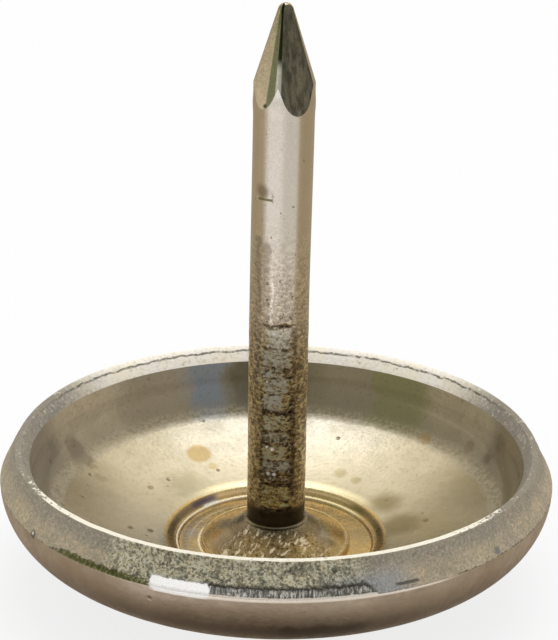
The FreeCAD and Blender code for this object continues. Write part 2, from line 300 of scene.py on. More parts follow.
class Graph:
    """Short calls for building a shader's node tree."""

    def __init__(self, tree: Tree) -> None:
        """Takes the tree to build in."""
        self.tree = tree

    def add(self, kind: str, **settings: object) -> Node:
        """Adds a node and sets its properties."""
        node = self.tree.nodes.new(kind)
        for key, value in settings.items():
            setattr(node, key, value)
        return node

    def feed(self, socket: Socket, value: object) -> None:
        """Links a socket to another, or sets its value; a colour of three parts gets full alpha."""
        if isinstance(value, Value):
            self.tree.links.new(value.socket, socket)
        elif socket.type == "RGBA":
            socket.default_value = (*value, 1.0)
        else:
            socket.default_value = value

    def node(self, kind: str, inputs: dict[int | str, object], output: int | str = 0, **settings: object) -> Value:
        """Adds a node and feeds its inputs.

        Args:
            kind: Type of the node.
            inputs: What goes into each input, by its number or name.
            output: Number or name of the output to give.
            settings: Properties of the node.

        Returns:
            The output asked for.
        """
        node = self.add(kind, **settings)
        for key, value in inputs.items():
            self.feed(node.inputs[key], value)
        return Value(self, node.outputs[output])

    def math(self, operation: str, first: object, second: object = 0.0, clamp: bool = False) -> Value:
        """One Math node."""
        return self.node("ShaderNodeMath", {0: first, 1: second}, operation=operation, use_clamp=clamp)

    def vector(self, operation: str, first: object, second: object = (0.0, 0.0, 0.0)) -> Value:
        """One Vector Math node."""
        output = "Value" if operation in ("LENGTH", "DISTANCE") else "Vector"
        return self.node("ShaderNodeVectorMath", {0: first, 1: second}, output, operation=operation)

    def scaled(self, vector: Value, factors: object) -> Value:
        """A vector or colour with each part multiplied by a factor of its own."""
        return self.vector("MULTIPLY", vector, factors)

    def parts(self, kind: str, whole: Value) -> tuple[Value, ...]:
        """All outputs of a node that takes something apart."""
        node = self.add(kind)
        self.feed(node.inputs[0], whole)
        return tuple(Value(self, socket) for socket in node.outputs)

    def axes(self, vector: Value) -> tuple[Value, ...]:
        """The three parts of a vector."""
        return self.parts("ShaderNodeSeparateXYZ", vector)

    def step(self, value: Value, low: object, high: object, first: float = 0.0, last: float = 1.0) -> Value:
        """Smooth step of a value between two edges."""
        inputs = {"Value": value, "From Min": low, "From Max": high, "To Min": first, "To Max": last}
        return self.node("ShaderNodeMapRange", inputs, interpolation_type="SMOOTHSTEP")

    def mix(self, share: object, first: object, second: object, blend: str = "MIX") -> Value:
        """Mixes two colours."""
        inputs = {0: share, 6: first, 7: second}
        return self.node("ShaderNodeMix", inputs, 2, data_type="RGBA", blend_type=blend, clamp_factor=True)

    def layers(self, colour: object, *coats: tuple[object, object]) -> Value:
        """Lays coats over a colour, one after another, each given by its mask and its colour."""
        for mask, coat in coats:
            colour = self.mix(mask, colour, coat)
        return colour

    def ramp(self, value: Value, stops: Stops, low: float = 0.0, high: float = 1.0) -> Value:
        """Colour that follows a value.

        Args:
            value: The value to follow.
            stops: Places and colours on the way from low to high.
            low: Value at the ramp's start.
            high: Value at its end.

        Returns:
            The colour.
        """
        share = (value - low) / (high - low)
        node = self.add("ShaderNodeValToRGB")
        marks = node.color_ramp.elements
        for i, (place, colour) in enumerate(stops):
            mark = marks[i] if i < 2 else marks.new(1.0)
            mark.position = (place - low) / (high - low)
            mark.color = (*colour, 1.0)
        self.feed(node.inputs[0], share)
        return Value(self, node.outputs[0])

    def noise(self, vector: Value, scale: object, detail: float = 3.0, rough: float = 0.55) -> Value:
        """Value of a noise pattern."""
        inputs = {"Vector": vector, "Scale": scale, "Detail": detail, "Roughness": rough}
        return self.node("ShaderNodeTexNoise", inputs)

    def turned_from(self, x: Value, y: Value, angle: object) -> Value:
        """How far a place lies round the nail from a bearing, in degrees."""
        here = self.math("ARCTAN2", x, y * -1.0) * (180.0 / math.pi)
        return abs(self.node("ShaderNodeMath", {0: here - angle, 1: 180.0, 2: -180.0}, operation="WRAP"))

    def place(self, group: Tree, **inputs: object) -> Value:
        """Places a node group and gives its mask."""
        return self.node("ShaderNodeGroup", inputs, node_tree=group)

    def close(self, mask: Value) -> Tree:
        """Feeds the output of a node group and gives the group."""
        self.feed(self.add("NodeGroupOutput").inputs[0], mask)
        return self.tree


def new_group(name: str, vectors: str, values: str) -> tuple[Graph, dict[str, Value]]:
    """Starts a shader node group that puts out one mask.

    Args:
        name: Name of the group.
        vectors: Names of its vector inputs, with spaces between them.
        values: Names of its value inputs, with spaces between them.

    Returns:
        A graph to build in the group, and the group's inputs by name.
    """
    graph = Graph(bpy.data.node_groups.new(name, "ShaderNodeTree"))
    for labels, kind in ((vectors, "NodeSocketVector"), (values, "NodeSocketFloat")):
        for label in labels.split():
            graph.tree.interface.new_socket(name=label, in_out="INPUT", socket_type=kind)
    graph.tree.interface.new_socket(name="Mask", in_out="OUTPUT", socket_type="NodeSocketFloat")
    given = graph.add("NodeGroupInput").outputs
    return graph, {label: Value(graph, given[label]) for label in f"{vectors} {values}".split()}


class Effects:
    """Shader node groups that several finishes share. All work in millimetres round the nail."""

    def __init__(self) -> None:
        """Builds every group once."""
        self.mottle = self._mottle()
        self.pits = self._pits()
        self.blot_mask = self._blot_mask()
        self.streaks = self._streaks()
        self.ring = self._ring()
        self.sector = self._sector()

    def _mottle(self) -> Tree:
        """Cloudy patches between 0 and 1."""
        graph, given = new_group("metal_mottle", "Vector", "Scale Low High")
        value = graph.noise(given["Vector"], given["Scale"], 5.0, 0.6)
        return graph.close(graph.step(value, given["Low"], given["High"]))

    def _pits(self) -> Tree:
        """Scattered round specks, of which Amount shows."""
        graph, given = new_group("metal_pits", "Vector", "Scale Amount Size")
        cells = graph.add("ShaderNodeTexVoronoi")
        graph.feed(cells.inputs["Vector"], given["Vector"])
        graph.feed(cells.inputs["Scale"], given["Scale"])
        chance, spread, _ = graph.parts("ShaderNodeSeparateColor", Value(graph, cells.outputs["Color"]))
        shown = graph.math("LESS_THAN", chance, given["Amount"])
        away = Value(graph, cells.outputs["Distance"]) / (given["Size"] * (spread + 0.3))
        depth = graph.math("SUBTRACT", 1.0, away, clamp=True)
        return graph.close(shown * graph.step(depth, 0.0, 0.6))

    def _blot_mask(self) -> Tree:
        """One blot with a ragged edge about a place."""
        graph, given = new_group("metal_blot", "Vector Centre", "Radius Softness Ragged")
        away = graph.vector("DISTANCE", given["Vector"], given["Centre"])
        wander = (graph.noise(given["Vector"], 2.2, 3.0) - 0.5) * given["Ragged"]
        relative = away / given["Radius"] + wander
        return graph.close(1.0 - graph.step(relative, 1.0 - given["Softness"], 1.0))

    def _streaks(self) -> Tree:
        """Fine marks drawn out along the direction whose Stretch is smallest."""
        graph, given = new_group("metal_streaks", "Vector Stretch", "Scale")
        drawn = graph.scaled(given["Vector"], given["Stretch"])
        return graph.close(graph.noise(drawn, given["Scale"], 4.0, 0.65))

    def _ring(self) -> Tree:
        """A soft ring round the nail at one radius."""
        graph, given = new_group("metal_ring", "Vector", "Radius Width")
        radius = graph.vector("LENGTH", graph.scaled(given["Vector"], (1.0, 1.0, 0.0)))
        share = abs(radius - given["Radius"]) / given["Width"]
        return graph.close(1.0 - graph.step(share, 0.0, 1.0))

    def _sector(self) -> Tree:
        """A soft sector round the nail about one bearing, in degrees."""
        graph, given = new_group("metal_sector", "Vector", "Bearing Half Soft")
        x, y, _ = graph.axes(given["Vector"])
        over = (graph.turned_from(x, y, given["Bearing"]) - given["Half"]) / given["Soft"]
        return graph.close(1.0 - graph.step(over, 0.0, 1.0))


@dataclass(frozen=True)
class Blot:
    """One stain, patch of colour, painted highlight or painted shade on a finish."""

    colour: Colour
    centre: tuple[float, float, float]
    radius: float
    strength: float = 0.9
    softness: float = 0.5
    ragged: float = 0.9


class MetalGraph(Graph):
    """The graph of one metallic material, with the shared effects and its place in millimetres at hand."""

    def __init__(self, name: str, effects: Effects) -> None:
        """Makes an empty metallic material."""
        self.material = bpy.data.materials.new(name)
        self.material.use_nodes = True
        super().__init__(self.material.node_tree)
        self.effects = effects
        self.shader = self.tree.nodes["Principled BSDF"]
        self.shader.inputs["Metallic"].default_value = 1.0
        inputs = {"Vector": self.node("ShaderNodeTexCoord", {}, "Object"), "Scale": (1.0 / METRES_PER_MM,) * 3}
        self.where = self.node("ShaderNodeMapping", inputs)

    def sector(self, turned: float, half: float, soft: float, where: Value | None = None) -> Value:
        """A soft sector about a bearing, in degrees."""
        return self.place(self.effects.sector, Vector=where or self.where, Bearing=turned, Half=half, Soft=soft)

    def ring(self, radius: float, width: float, where: Value | None = None) -> Value:
        """A soft ring round the nail."""
        return self.place(self.effects.ring, Vector=where or self.where, Radius=radius, Width=width)

    def mottle(self, scale: float, low: float, high: float) -> Value:
        """Cloudy patches."""
        return self.place(self.effects.mottle, Vector=self.where, Scale=scale, Low=low, High=high)

    def pits(self, scale: float, amount: object, size: float) -> Value:
        """Scattered round specks."""
        return self.place(self.effects.pits, Vector=self.where, Scale=scale, Amount=amount, Size=size)

    def streaks(self, stretch: tuple[float, float, float], scale: float) -> Value:
        """Fine drawn-out marks."""
        return self.place(self.effects.streaks, Vector=self.where, Stretch=stretch, Scale=scale)

    def blot_mask(self, blot: Blot) -> Value:
        """The mask of one blot."""
        return self.place(
            self.effects.blot_mask, Vector=self.where, Centre=blot.centre, Radius=blot.radius,
            Softness=blot.softness, Ragged=blot.ragged,
        )

    def blots(self, colour: Value, blots: Sequence[Blot]) -> Value:
        """Lays blots over a colour, one after another: stains, painted highlights and painted shade."""
        return self.layers(colour, *((self.blot_mask(blot) * blot.strength, blot.colour) for blot in blots))

    def surface(
        self, colour: Value, rough: Value, heights: Sequence[tuple[Value, float]], metallic: Value | None = None
    ) -> None:
        """Feeds the shader.

        Args:
            colour: The metal's colour.
            rough: Its roughness.
            heights: Patterns that bump the surface, each with its height in millimetres.
            metallic: How far it mirrors in its colour; bright metal if none is given.
        """
        self.feed(self.shader.inputs["Base Color"], colour)
        self.feed(self.shader.inputs["Roughness"], rough)
        if metallic is not None:
            self.feed(self.shader.inputs["Metallic"], metallic)
        total: object = 0.0
        for height, amount in heights:
            total = total + height * (amount * METRES_PER_MM)
        bump = self.node("ShaderNodeBump", {"Strength": 1.0, "Distance": 1.0, "Height": total}, "Normal")
        self.feed(self.shader.inputs["Normal"], bump)


class Finish:
    """Base of every finish of the metal."""

    name = "finish"

    def build(self, effects: Effects) -> Material:
        """Makes the material.

        Args:
            effects: Shader groups shared by the finishes.

        Returns:
            The material.
        """
        graph = MetalGraph(self.name, effects)
        self.paint(graph, graph.where)
        return graph.material

    def paint(self, graph: MetalGraph, where: Value) -> None:
        """Lays the finish; where is the place in millimetres."""
        raise NotImplementedError


# Where the painted highlight line under the widest edge runs: its bearing, half width and softness in degrees.
SILL_HIGHLIGHT = (7.0, 22.0, 10.0)
# Bearing of the painted highlight on the band, and the marks that run over the widest edge.
WHITE_HIGHLIGHT_BEARING = -17.4
EDGE_MARKS_AND_HIGHLIGHTS = (
    Blot((0.13, 0.10, 0.07), (-8.85, -6.48, 4.62), 0.24, 0.8, 0.6, 0.6),
    # The next two small pale blots are painted highlight spots.
    Blot((1.0, 0.97, 0.93), (-8.87, -6.45, 4.64), 0.085, 0.95, 0.4, 0.2),
    Blot((0.95, 0.90, 0.88), (-8.83, -6.42, 4.46), 0.08, 0.85, 0.4, 0.2),
    Blot((0.22, 0.24, 0.28), (8.01, -7.41, 4.76), 0.22, 0.8, 0.6, 0.8),
)


class DomeFinish(Finish):
    """The smooth underside, which shows below the widest edge, with painted shade, a painted dark reflection and
    painted highlights in its colour.
    """

    name = "plated_dome"

    def paint(self, graph: MetalGraph, where: Value) -> None:
        """Lays the finish."""
        height = graph.axes(where)[2]
        patch, fine = graph.mottle(0.5, 0.35, 0.65), graph.mottle(3.0, 0.3, 0.7)
        pits = graph.pits(1.6, 0.12, 0.22)
        # Painted highlight: a light line just under the widest edge.
        painted_sill_highlight = graph.sector(*SILL_HIGHLIGHT) * graph.step(height, 4.46, 4.52)
        # Painted highlight: a near-white patch on the dome just under the band's painted highlight.
        painted_white_highlight = graph.sector(WHITE_HIGHLIGHT_BEARING, 4.4, 2.0) * graph.step(height, 4.42, 4.48)
        # Painted reflection: a dark ragged patch low on the front of the dome.
        ragged = height + graph.noise(where, 1.5, 3.0) * 0.35
        painted_dark_reflection = graph.sector(9.0, 6.0, 5.0) * graph.step(ragged, 3.75, 3.4)
        colour = graph.layers(
            graph.mix(patch, (0.54, 0.445, 0.35), (0.68, 0.59, 0.485)),
            (fine * 0.3, (0.44, 0.355, 0.28)),
            # Painted shade: darker towards the bottom of the dome, where it turns under.
            (graph.step(height, 4.1, 2.9, 0.0, 0.75), (0.26, 0.20, 0.155)),
            (painted_sill_highlight * 0.85, (0.92, 0.82, 0.71)),
            (painted_white_highlight, (1.0, 0.97, 0.94)),
            (painted_dark_reflection * 0.48, (0.06, 0.045, 0.035)),
            (pits * 0.7, (0.24, 0.18, 0.13)),
        )
        heights = [(graph.noise(where, 9.0, 4.0), 0.006), (pits, -0.02), (graph.noise(where, 1.3, 2.0), 0.02)]
        # Metallic drops where the painted highlights lie, so that they show light.
        metallic = graph.step(graph.math("MAXIMUM", painted_white_highlight, painted_sill_highlight), 0.0, 1.0, 1.0, 0.4)
        rough = graph.step(fine, 0.0, 1.0, 0.3, 0.42)
        graph.surface(graph.blots(colour, EDGE_MARKS_AND_HIGHLIGHTS), rough, heights, metallic)


class EdgeFinish(Finish):
    """The trimmed edge of the sheet: a burnished band below a rough torn bevel, with painted reflections, highlights
    and shade in its colour.
    """

    name = "torn_edge"
    edge_height = 4.575
    # Painted shade and highlight for the crust: dark where the lumps are low, light where they are high.
    painted_crust_shading = (
        (0.34, (0.10, 0.10, 0.09)), (0.42, (0.26, 0.26, 0.24)), (0.48, (0.62, 0.62, 0.60)),
        (0.54, (0.80, 0.80, 0.79)), (0.63, (1.0, 1.0, 1.0)),
    )

    def paint(self, graph: MetalGraph, where: Value) -> None:
        """Lays the finish."""
        height = graph.axes(where)[2] - self.edge_height
        wander = graph.noise(where, 4.4, 5.0, 0.8) - 0.5
        # Painted highlight: a near-white reflection on the burnished band, with a ragged edge.
        painted_white_highlight = graph.step(graph.sector(WHITE_HIGHLIGHT_BEARING, 4.2, 3.0) + wander * 1.6, 0.4, 0.6)
        # Painted reflection: an olive stripe on the band to the left of the front; it also raises the band's top
        # there.
        painted_green_reflection, drawn = graph.sector(-34.0, 9.0, 5.0), graph.sector(2.5, 14.0, 3.0)
        blue, crust = graph.sector(17.0, 3.5, 8.0), graph.sector(-8.0, 18.0, 12.0)
        top: object = 0.0
        for mask, reach in ((painted_white_highlight, 0.46), (painted_green_reflection, 0.2), (drawn, 0.4)):
            top = graph.math("MAXIMUM", top, mask * reach)
        over = height - (top + wander * 0.36)
        burnished = graph.step(over, 0.02, -0.02)
        lumps, grains = graph.noise(where, 9.5, 5.0, 0.72), graph.noise(where, 14.0, 4.0, 0.7)
        tone, patch = graph.mottle(0.8, 0.36, 0.64), graph.mottle(2.3, 0.4, 0.62)
        upper = graph.step(height + wander * 0.5, 0.45, 0.95)
        grit_and_painted_highlights = graph.mix(patch, (0.84, 0.76, 0.57), (0.66, 0.64, 0.50))
        # Painted highlights on the tops of the lumps.
        grit_and_painted_highlights = graph.mix(graph.step(lumps, 0.53, 0.62) * 0.5, grit_and_painted_highlights, (1.0, 0.97, 0.82))
        torn = graph.layers(
            graph.mix(tone, (0.70, 0.59, 0.43), (0.58, 0.50, 0.395)),
            (patch * 0.4, (0.42, 0.4, 0.3)),
            (upper * 0.55, (0.34, 0.315, 0.29)),
            (graph.step(crust, 0.0, 0.8), grit_and_painted_highlights),
            # Painted highlights on the higher lumps of the torn bevel.
            (graph.step(lumps, 0.54, 0.68) * 0.35, (0.86, 0.80, 0.66)),
            (blue * (1.0 - upper) * 0.6, (0.42, 0.48, 0.58)),
        )
        # Painted shade and highlight: the crust darkens in the low lumps and lightens on the high ones.
        shade = graph.scaled(graph.ramp(lumps, self.painted_crust_shading), (1.9, 1.86, 1.8))
        torn = graph.mix(graph.step(crust, 0.0, 1.0, 0.22, 0.9), torn, shade, "MULTIPLY")
        # Painted shade: dark creases in the crust.
        painted_crease_shade = graph.step(graph.noise(where, 3.4, 4.0, 0.7), 0.49, 0.40) * crust
        # Painted shadow: a dark line just above the burnished band, below the torn lip.
        under = graph.step(over, 0.14, 0.03) * drawn
        score = graph.sector(25.0, 1.8, 1.2) * graph.step(abs(height - 0.2), 0.07, 0.03)
        torn = graph.layers(
            torn,
            (painted_crease_shade * 0.6, (0.11, 0.115, 0.1)),
            (graph.step(grains, 0.5, 0.36) * 0.3, (0.16, 0.15, 0.115)),
            (under * 0.8, (0.05, 0.05, 0.045)),
            (score * 0.85, (0.13, 0.12, 0.1)),
        )
        streaks = graph.streaks((1.0, 1.0, 0.3), 13.0)
        # Painted highlight: a light line at the foot of the band, along the widest edge.
        painted_sill_highlight = graph.sector(*SILL_HIGHLIGHT) * graph.step(height + wander * 0.1, 0.11, 0.06)
        shiny = graph.layers(
            graph.mix(graph.step(streaks, 0.42, 0.66), (0.12, 0.12, 0.11), (0.66, 0.64, 0.60)),
            (graph.step(height, 0.24, 0.42, 0.0, 0.6), (0.07, 0.07, 0.065)),
            # Painted reflection: olive streaks on the band in that sector.
            (painted_green_reflection, graph.mix(graph.step(streaks, 0.45, 0.6), (0.19, 0.195, 0.10), (0.44, 0.43, 0.28))),
            (painted_sill_highlight * 0.9, (0.9, 0.8, 0.69)),
            (painted_white_highlight, (1.0, 0.99, 0.97)),
        )
        # Metallic drops where the painted highlights lie on the band, so that they show light.
        plain = graph.math("MAXIMUM", painted_white_highlight, painted_sill_highlight) * burnished
        metallic = (burnished * 0.45 + 0.55) * graph.step(plain, 0.0, 1.0, 1.0, 0.4)
        rough = graph.step(grains, 0.3, 0.7, 0.38, 0.55) + burnished * -0.24
        keep = 1.0 - burnished
        coarse = lumps * keep * (crust + 0.3)
        heights = [(coarse, 0.3), (grains * keep, 0.05), (streaks * burnished, 0.02), (burnished, -0.02)]
        graph.surface(graph.blots(graph.mix(burnished, torn, shiny), EDGE_MARKS_AND_HIGHLIGHTS), rough, heights, metallic)


class CrestFinish(Finish):
    """The frosted crest and inner chamfer of the rim: painted light makes it pale at the back and grey at the sides,
    with a painted highlight along the front.
    """

    name = "rim_crest"
    crack_radius = 10.105

    def paint(self, graph: MetalGraph, where: Value) -> None:
        """Lays the finish."""
        grains = graph.noise(where, 6.0, 5.0, 0.75)
        tone = graph.mottle(0.9, 0.35, 0.65)
        pits = graph.pits(3.0, 0.2, 0.3)
        # Painted light: the back is pale, as if lit, and the sides grey, as if shaded; the right side and the flat
        # land at the sides are darkened further.
        back, right = graph.sector(180.0, 42.0, 28.0), graph.sector(85.0, 26.0, 20.0)
        # Painted highlight: a cream line along the front crest, broken by the grain.
        front = graph.step(graph.sector(-4.0, 30.0, 52.0) + (grains - 0.5) * 2.8, 0.48, 0.62)
        pale = graph.mix(tone, (1.0, 0.92, 0.75), (1.0, 0.95, 0.86))
        grey = graph.layers(
            graph.mix(tone, (0.44, 0.39, 0.32), (0.36, 0.335, 0.30)),
            (graph.step(graph.ring(10.32, 0.26), 0.0, 0.5) * 0.6, (0.22, 0.195, 0.155)),
            (right * 0.35, (0.25, 0.22, 0.17)),
            (graph.step(grains, 0.5, 0.38), (0.20, 0.18, 0.145)),
            (graph.step(grains, 0.56, 0.66), (0.78, 0.74, 0.66)),
        )
        radius = graph.vector("LENGTH", graph.scaled(where, (1.0, 1.0, 0.0)))
        wander = (graph.noise(where, 1.6, 4.0, 0.7) - 0.5) * 0.2
        line = graph.step(abs(radius + wander - self.crack_radius), 0.04, 0.01)
        broken = graph.step(graph.noise(where, 2.6, 4.0, 0.7), 0.36, 0.52, 0.25, 1.0)
        line = line * broken * graph.sector(180.0, 58.0, 16.0)
        colour = graph.layers(
            graph.mix(back, grey, pale),
            (graph.step(grains, 0.48, 0.36) * 0.4, (0.5, 0.45, 0.34)),
            (front, (1.0, 0.95, 0.82)),
            (pits * 0.4, (0.3, 0.26, 0.19)),
            (line * 0.85, (0.11, 0.1, 0.065)),
        )
        # Metallic is lowest at the back, so the painted pale shows lit.
        rough, metallic = graph.step(grains, 0.3, 0.7, 0.36, 0.5), graph.step(back, 0.0, 1.0, 0.25, 0.05)
        graph.surface(colour, rough, [(grains, 0.05), (pits, -0.02)], metallic)


@dataclass(frozen=True)
class WallReflection:
    """Painted reflection in the colour of the inner wall over a soft sector, with its angles in degrees."""

    turned: float
    half: float
    soft: float
    colour: Colour


class BowlFinish(Finish):
    """The inner wall, bright and smooth, with painted reflections and painted shade in its colour, and the satin,
    stained floor with painted shade towards the walls.
    """

    name = "bowl_inside"
    # Painted reflections of the surroundings on the inner wall, by bearing.
    painted_wall_reflections = (
        WallReflection(-88.0, 22.0, 12.0, (0.36, 0.30, 0.225)),
        WallReflection(-122.0, 8.0, 16.0, (0.68, 0.57, 0.40)),
        WallReflection(-144.0, 5.0, 8.0, (0.50, 0.425, 0.30)),
        WallReflection(-160.5, 1.5, 7.0, (0.33, 0.385, 0.44)),
        WallReflection(-178.0, 7.0, 9.0, (0.17, 0.155, 0.10)),
        WallReflection(170.0, 4.0, 7.0, (0.30, 0.265, 0.165)),
        WallReflection(160.0, 4.0, 8.0, (0.40, 0.345, 0.23)),
        WallReflection(144.5, 8.0, 3.0, (0.35, 0.335, 0.155)),
        WallReflection(124.0, 9.0, 8.0, (0.56, 0.47, 0.31)),
        WallReflection(86.0, 18.0, 10.0, (0.33, 0.265, 0.165)),
    )
    # Painted shade on the floor towards the left and right walls.
    painted_floor_shade = (
        Blot((0.37, 0.32, 0.245), (-9.4, 1.0, 2.9), 4.4, 0.95, 0.9, 0.3),
        Blot((0.34, 0.295, 0.21), (9.5, 1.4, 3.0), 4.8, 0.95, 0.9, 0.3),
    )
    marks = (
        Blot((0.55, 0.47, 0.31), (5.8, -1.0, 1.9), 3.0, 0.6, 0.8, 0.4),
        Blot((0.36, 0.30, 0.19), (5.15, 0.4, 1.7), 1.25, 0.9, 0.7, 0.3),
        Blot((0.36, 0.30, 0.19), (4.6, 2.4, 1.8), 1.1, 0.85, 0.8, 0.3),
        Blot((0.42, 0.35, 0.21), (2.8, 5.0, 1.9), 0.42, 0.6, 0.7, 1.0),
        Blot((0.42, 0.35, 0.21), (3.5, 4.4, 1.85), 0.32, 0.6, 0.7, 1.0),
        Blot((0.47, 0.43, 0.33), (-3.9, 3.8, 1.8), 1.3, 0.6, 0.8, 1.0),
        Blot((0.50, 0.345, 0.135), (-3.44, 5.95, 2.3), 0.66, 0.75, 0.35, 0.3),
        Blot((0.60, 0.46, 0.24), (-2.8, 5.3, 2.0), 0.34, 0.6, 0.6, 0.4),
        Blot((0.22, 0.175, 0.12), (-8.59, 3.65, 3.5), 0.75, 0.85, 0.6, 1.2),
        Blot((0.22, 0.175, 0.12), (-8.21, 3.26, 3.12), 0.75, 0.85, 0.6, 1.2),
        Blot((0.24, 0.20, 0.15), (-9.2, 2.3, 4.0), 0.8, 0.6, 0.8, 1.2),
        Blot((0.20, 0.14, 0.09), (-9.38, 1.7, 3.77), 0.13, 0.9, 0.5, 0.3),
        Blot((0.34, 0.28, 0.20), (-8.81, 1.02, 3.14), 0.5, 0.5, 0.6, 1.2),
        Blot((0.34, 0.26, 0.17), (-5.35, 2.97, 2.05), 0.2, 0.7, 0.6),
        Blot((0.22, 0.19, 0.12), (-5.87, -0.65, 1.98), 0.16, 0.8, 0.6),
        Blot((0.18, 0.16, 0.11), (-5.08, -0.44, 1.76), 0.18, 0.8, 0.6),
        Blot((0.42, 0.38, 0.29), (-7.41, 2.47, 2.67), 0.4, 0.6, 0.6),
        Blot((0.30, 0.21, 0.09), (6.56, 6.12, 3.2), 0.42, 0.8, 0.6, 1.2),
        Blot((0.30, 0.21, 0.11), (6.15, 0.27, 2.06), 0.18, 0.8, 0.6),
        Blot((0.13, 0.11, 0.065), (8.92, 3.07, 3.62), 0.5, 0.85, 0.7, 1.5),
        Blot((0.20, 0.165, 0.10), (9.37, 2.65, 4.42), 0.8, 0.6, 0.8, 1.2),
        Blot((0.24, 0.18, 0.11), (8.26, 4.39, 3.52), 0.4, 0.7, 0.6, 1.2),
    )

    def paint(self, graph: MetalGraph, where: Value) -> None:
        """Lays the finish."""
        height = graph.axes(where)[2]
        edge_noise = (graph.noise(where, 3.5, 5.0, 0.75) - 0.5) * 0.2
        floor = graph.step(height + edge_noise, 3.12, 2.92)
        broad, cloud = graph.mottle(0.35, 0.35, 0.65), graph.mottle(1.1, 0.4, 0.65)
        speck = graph.pits(1.5, 0.3, 0.16)
        frost = graph.noise(where, 6.0, 5.0, 0.75)
        ground = graph.layers(
            graph.mix(broad, (0.73, 0.67, 0.60), (0.68, 0.62, 0.53)),
            (cloud * 0.3, (0.66, 0.61, 0.52)),
            (graph.step(frost, 0.48, 0.36) * 0.35, (0.44, 0.39, 0.29)),
        )
        ground = graph.blots(ground, self.painted_floor_shade)
        bend = graph.node("ShaderNodeCombineXYZ", {0: (graph.noise(where, 0.9, 5.0, 0.7) - 0.5) * 2.6})
        bent = graph.vector("ADD", where, bend)
        sandy = graph.step(height, 3.5, 3.2) * graph.step(frost, 0.44, 0.56)
        wall = graph.layers(
            graph.mix(broad, (0.50, 0.42, 0.31), (0.42, 0.36, 0.26)),
            *((graph.sector(wall_reflection.turned, wall_reflection.half, wall_reflection.soft, bent), wall_reflection.colour) for wall_reflection in self.painted_wall_reflections),
            (cloud * 0.2, (0.36, 0.31, 0.22)),
            # Painted shade: the wall darkens towards its foot, where it meets the floor.
            (graph.step(height, 4.7, 3.3, 0.0, 0.62), (0.14, 0.12, 0.075)),
            (sandy * 0.35, (0.5, 0.43, 0.3)),
            (graph.step(frost, 0.47, 0.38) * 0.25, (0.16, 0.135, 0.08)),
        )
        colour = graph.mix(floor, wall, ground)
        colour = graph.mix(speck * 0.5, colour, (0.3, 0.25, 0.18))
        lip = graph.ring(4.66, 0.3) * graph.sector(175.0, 38.0, 22.0)
        colour = graph.mix(lip * 0.8, graph.blots(colour, self.marks), (1.0, 0.92, 0.7))
        rough = graph.step(cloud, 0.0, 1.0, 0.2, 0.27) + (1.0 - floor) * -0.1
        heights = [(graph.streaks((0.12, 0.12, 1.0), 9.0), 0.006), (frost * floor, 0.01), (speck, -0.02)]
        graph.surface(colour, rough, heights, graph.step(floor, 0.0, 1.0, 0.22, 1.0))


@dataclass(frozen=True)
class Ring:
    """Colour in a ring round the nail over a soft sector; shine makes it a highlight."""

    radius: float
    width: float
    turned: float
    half: float
    soft: float
    strength: float
    colour: Colour
    shine: float = 0.0


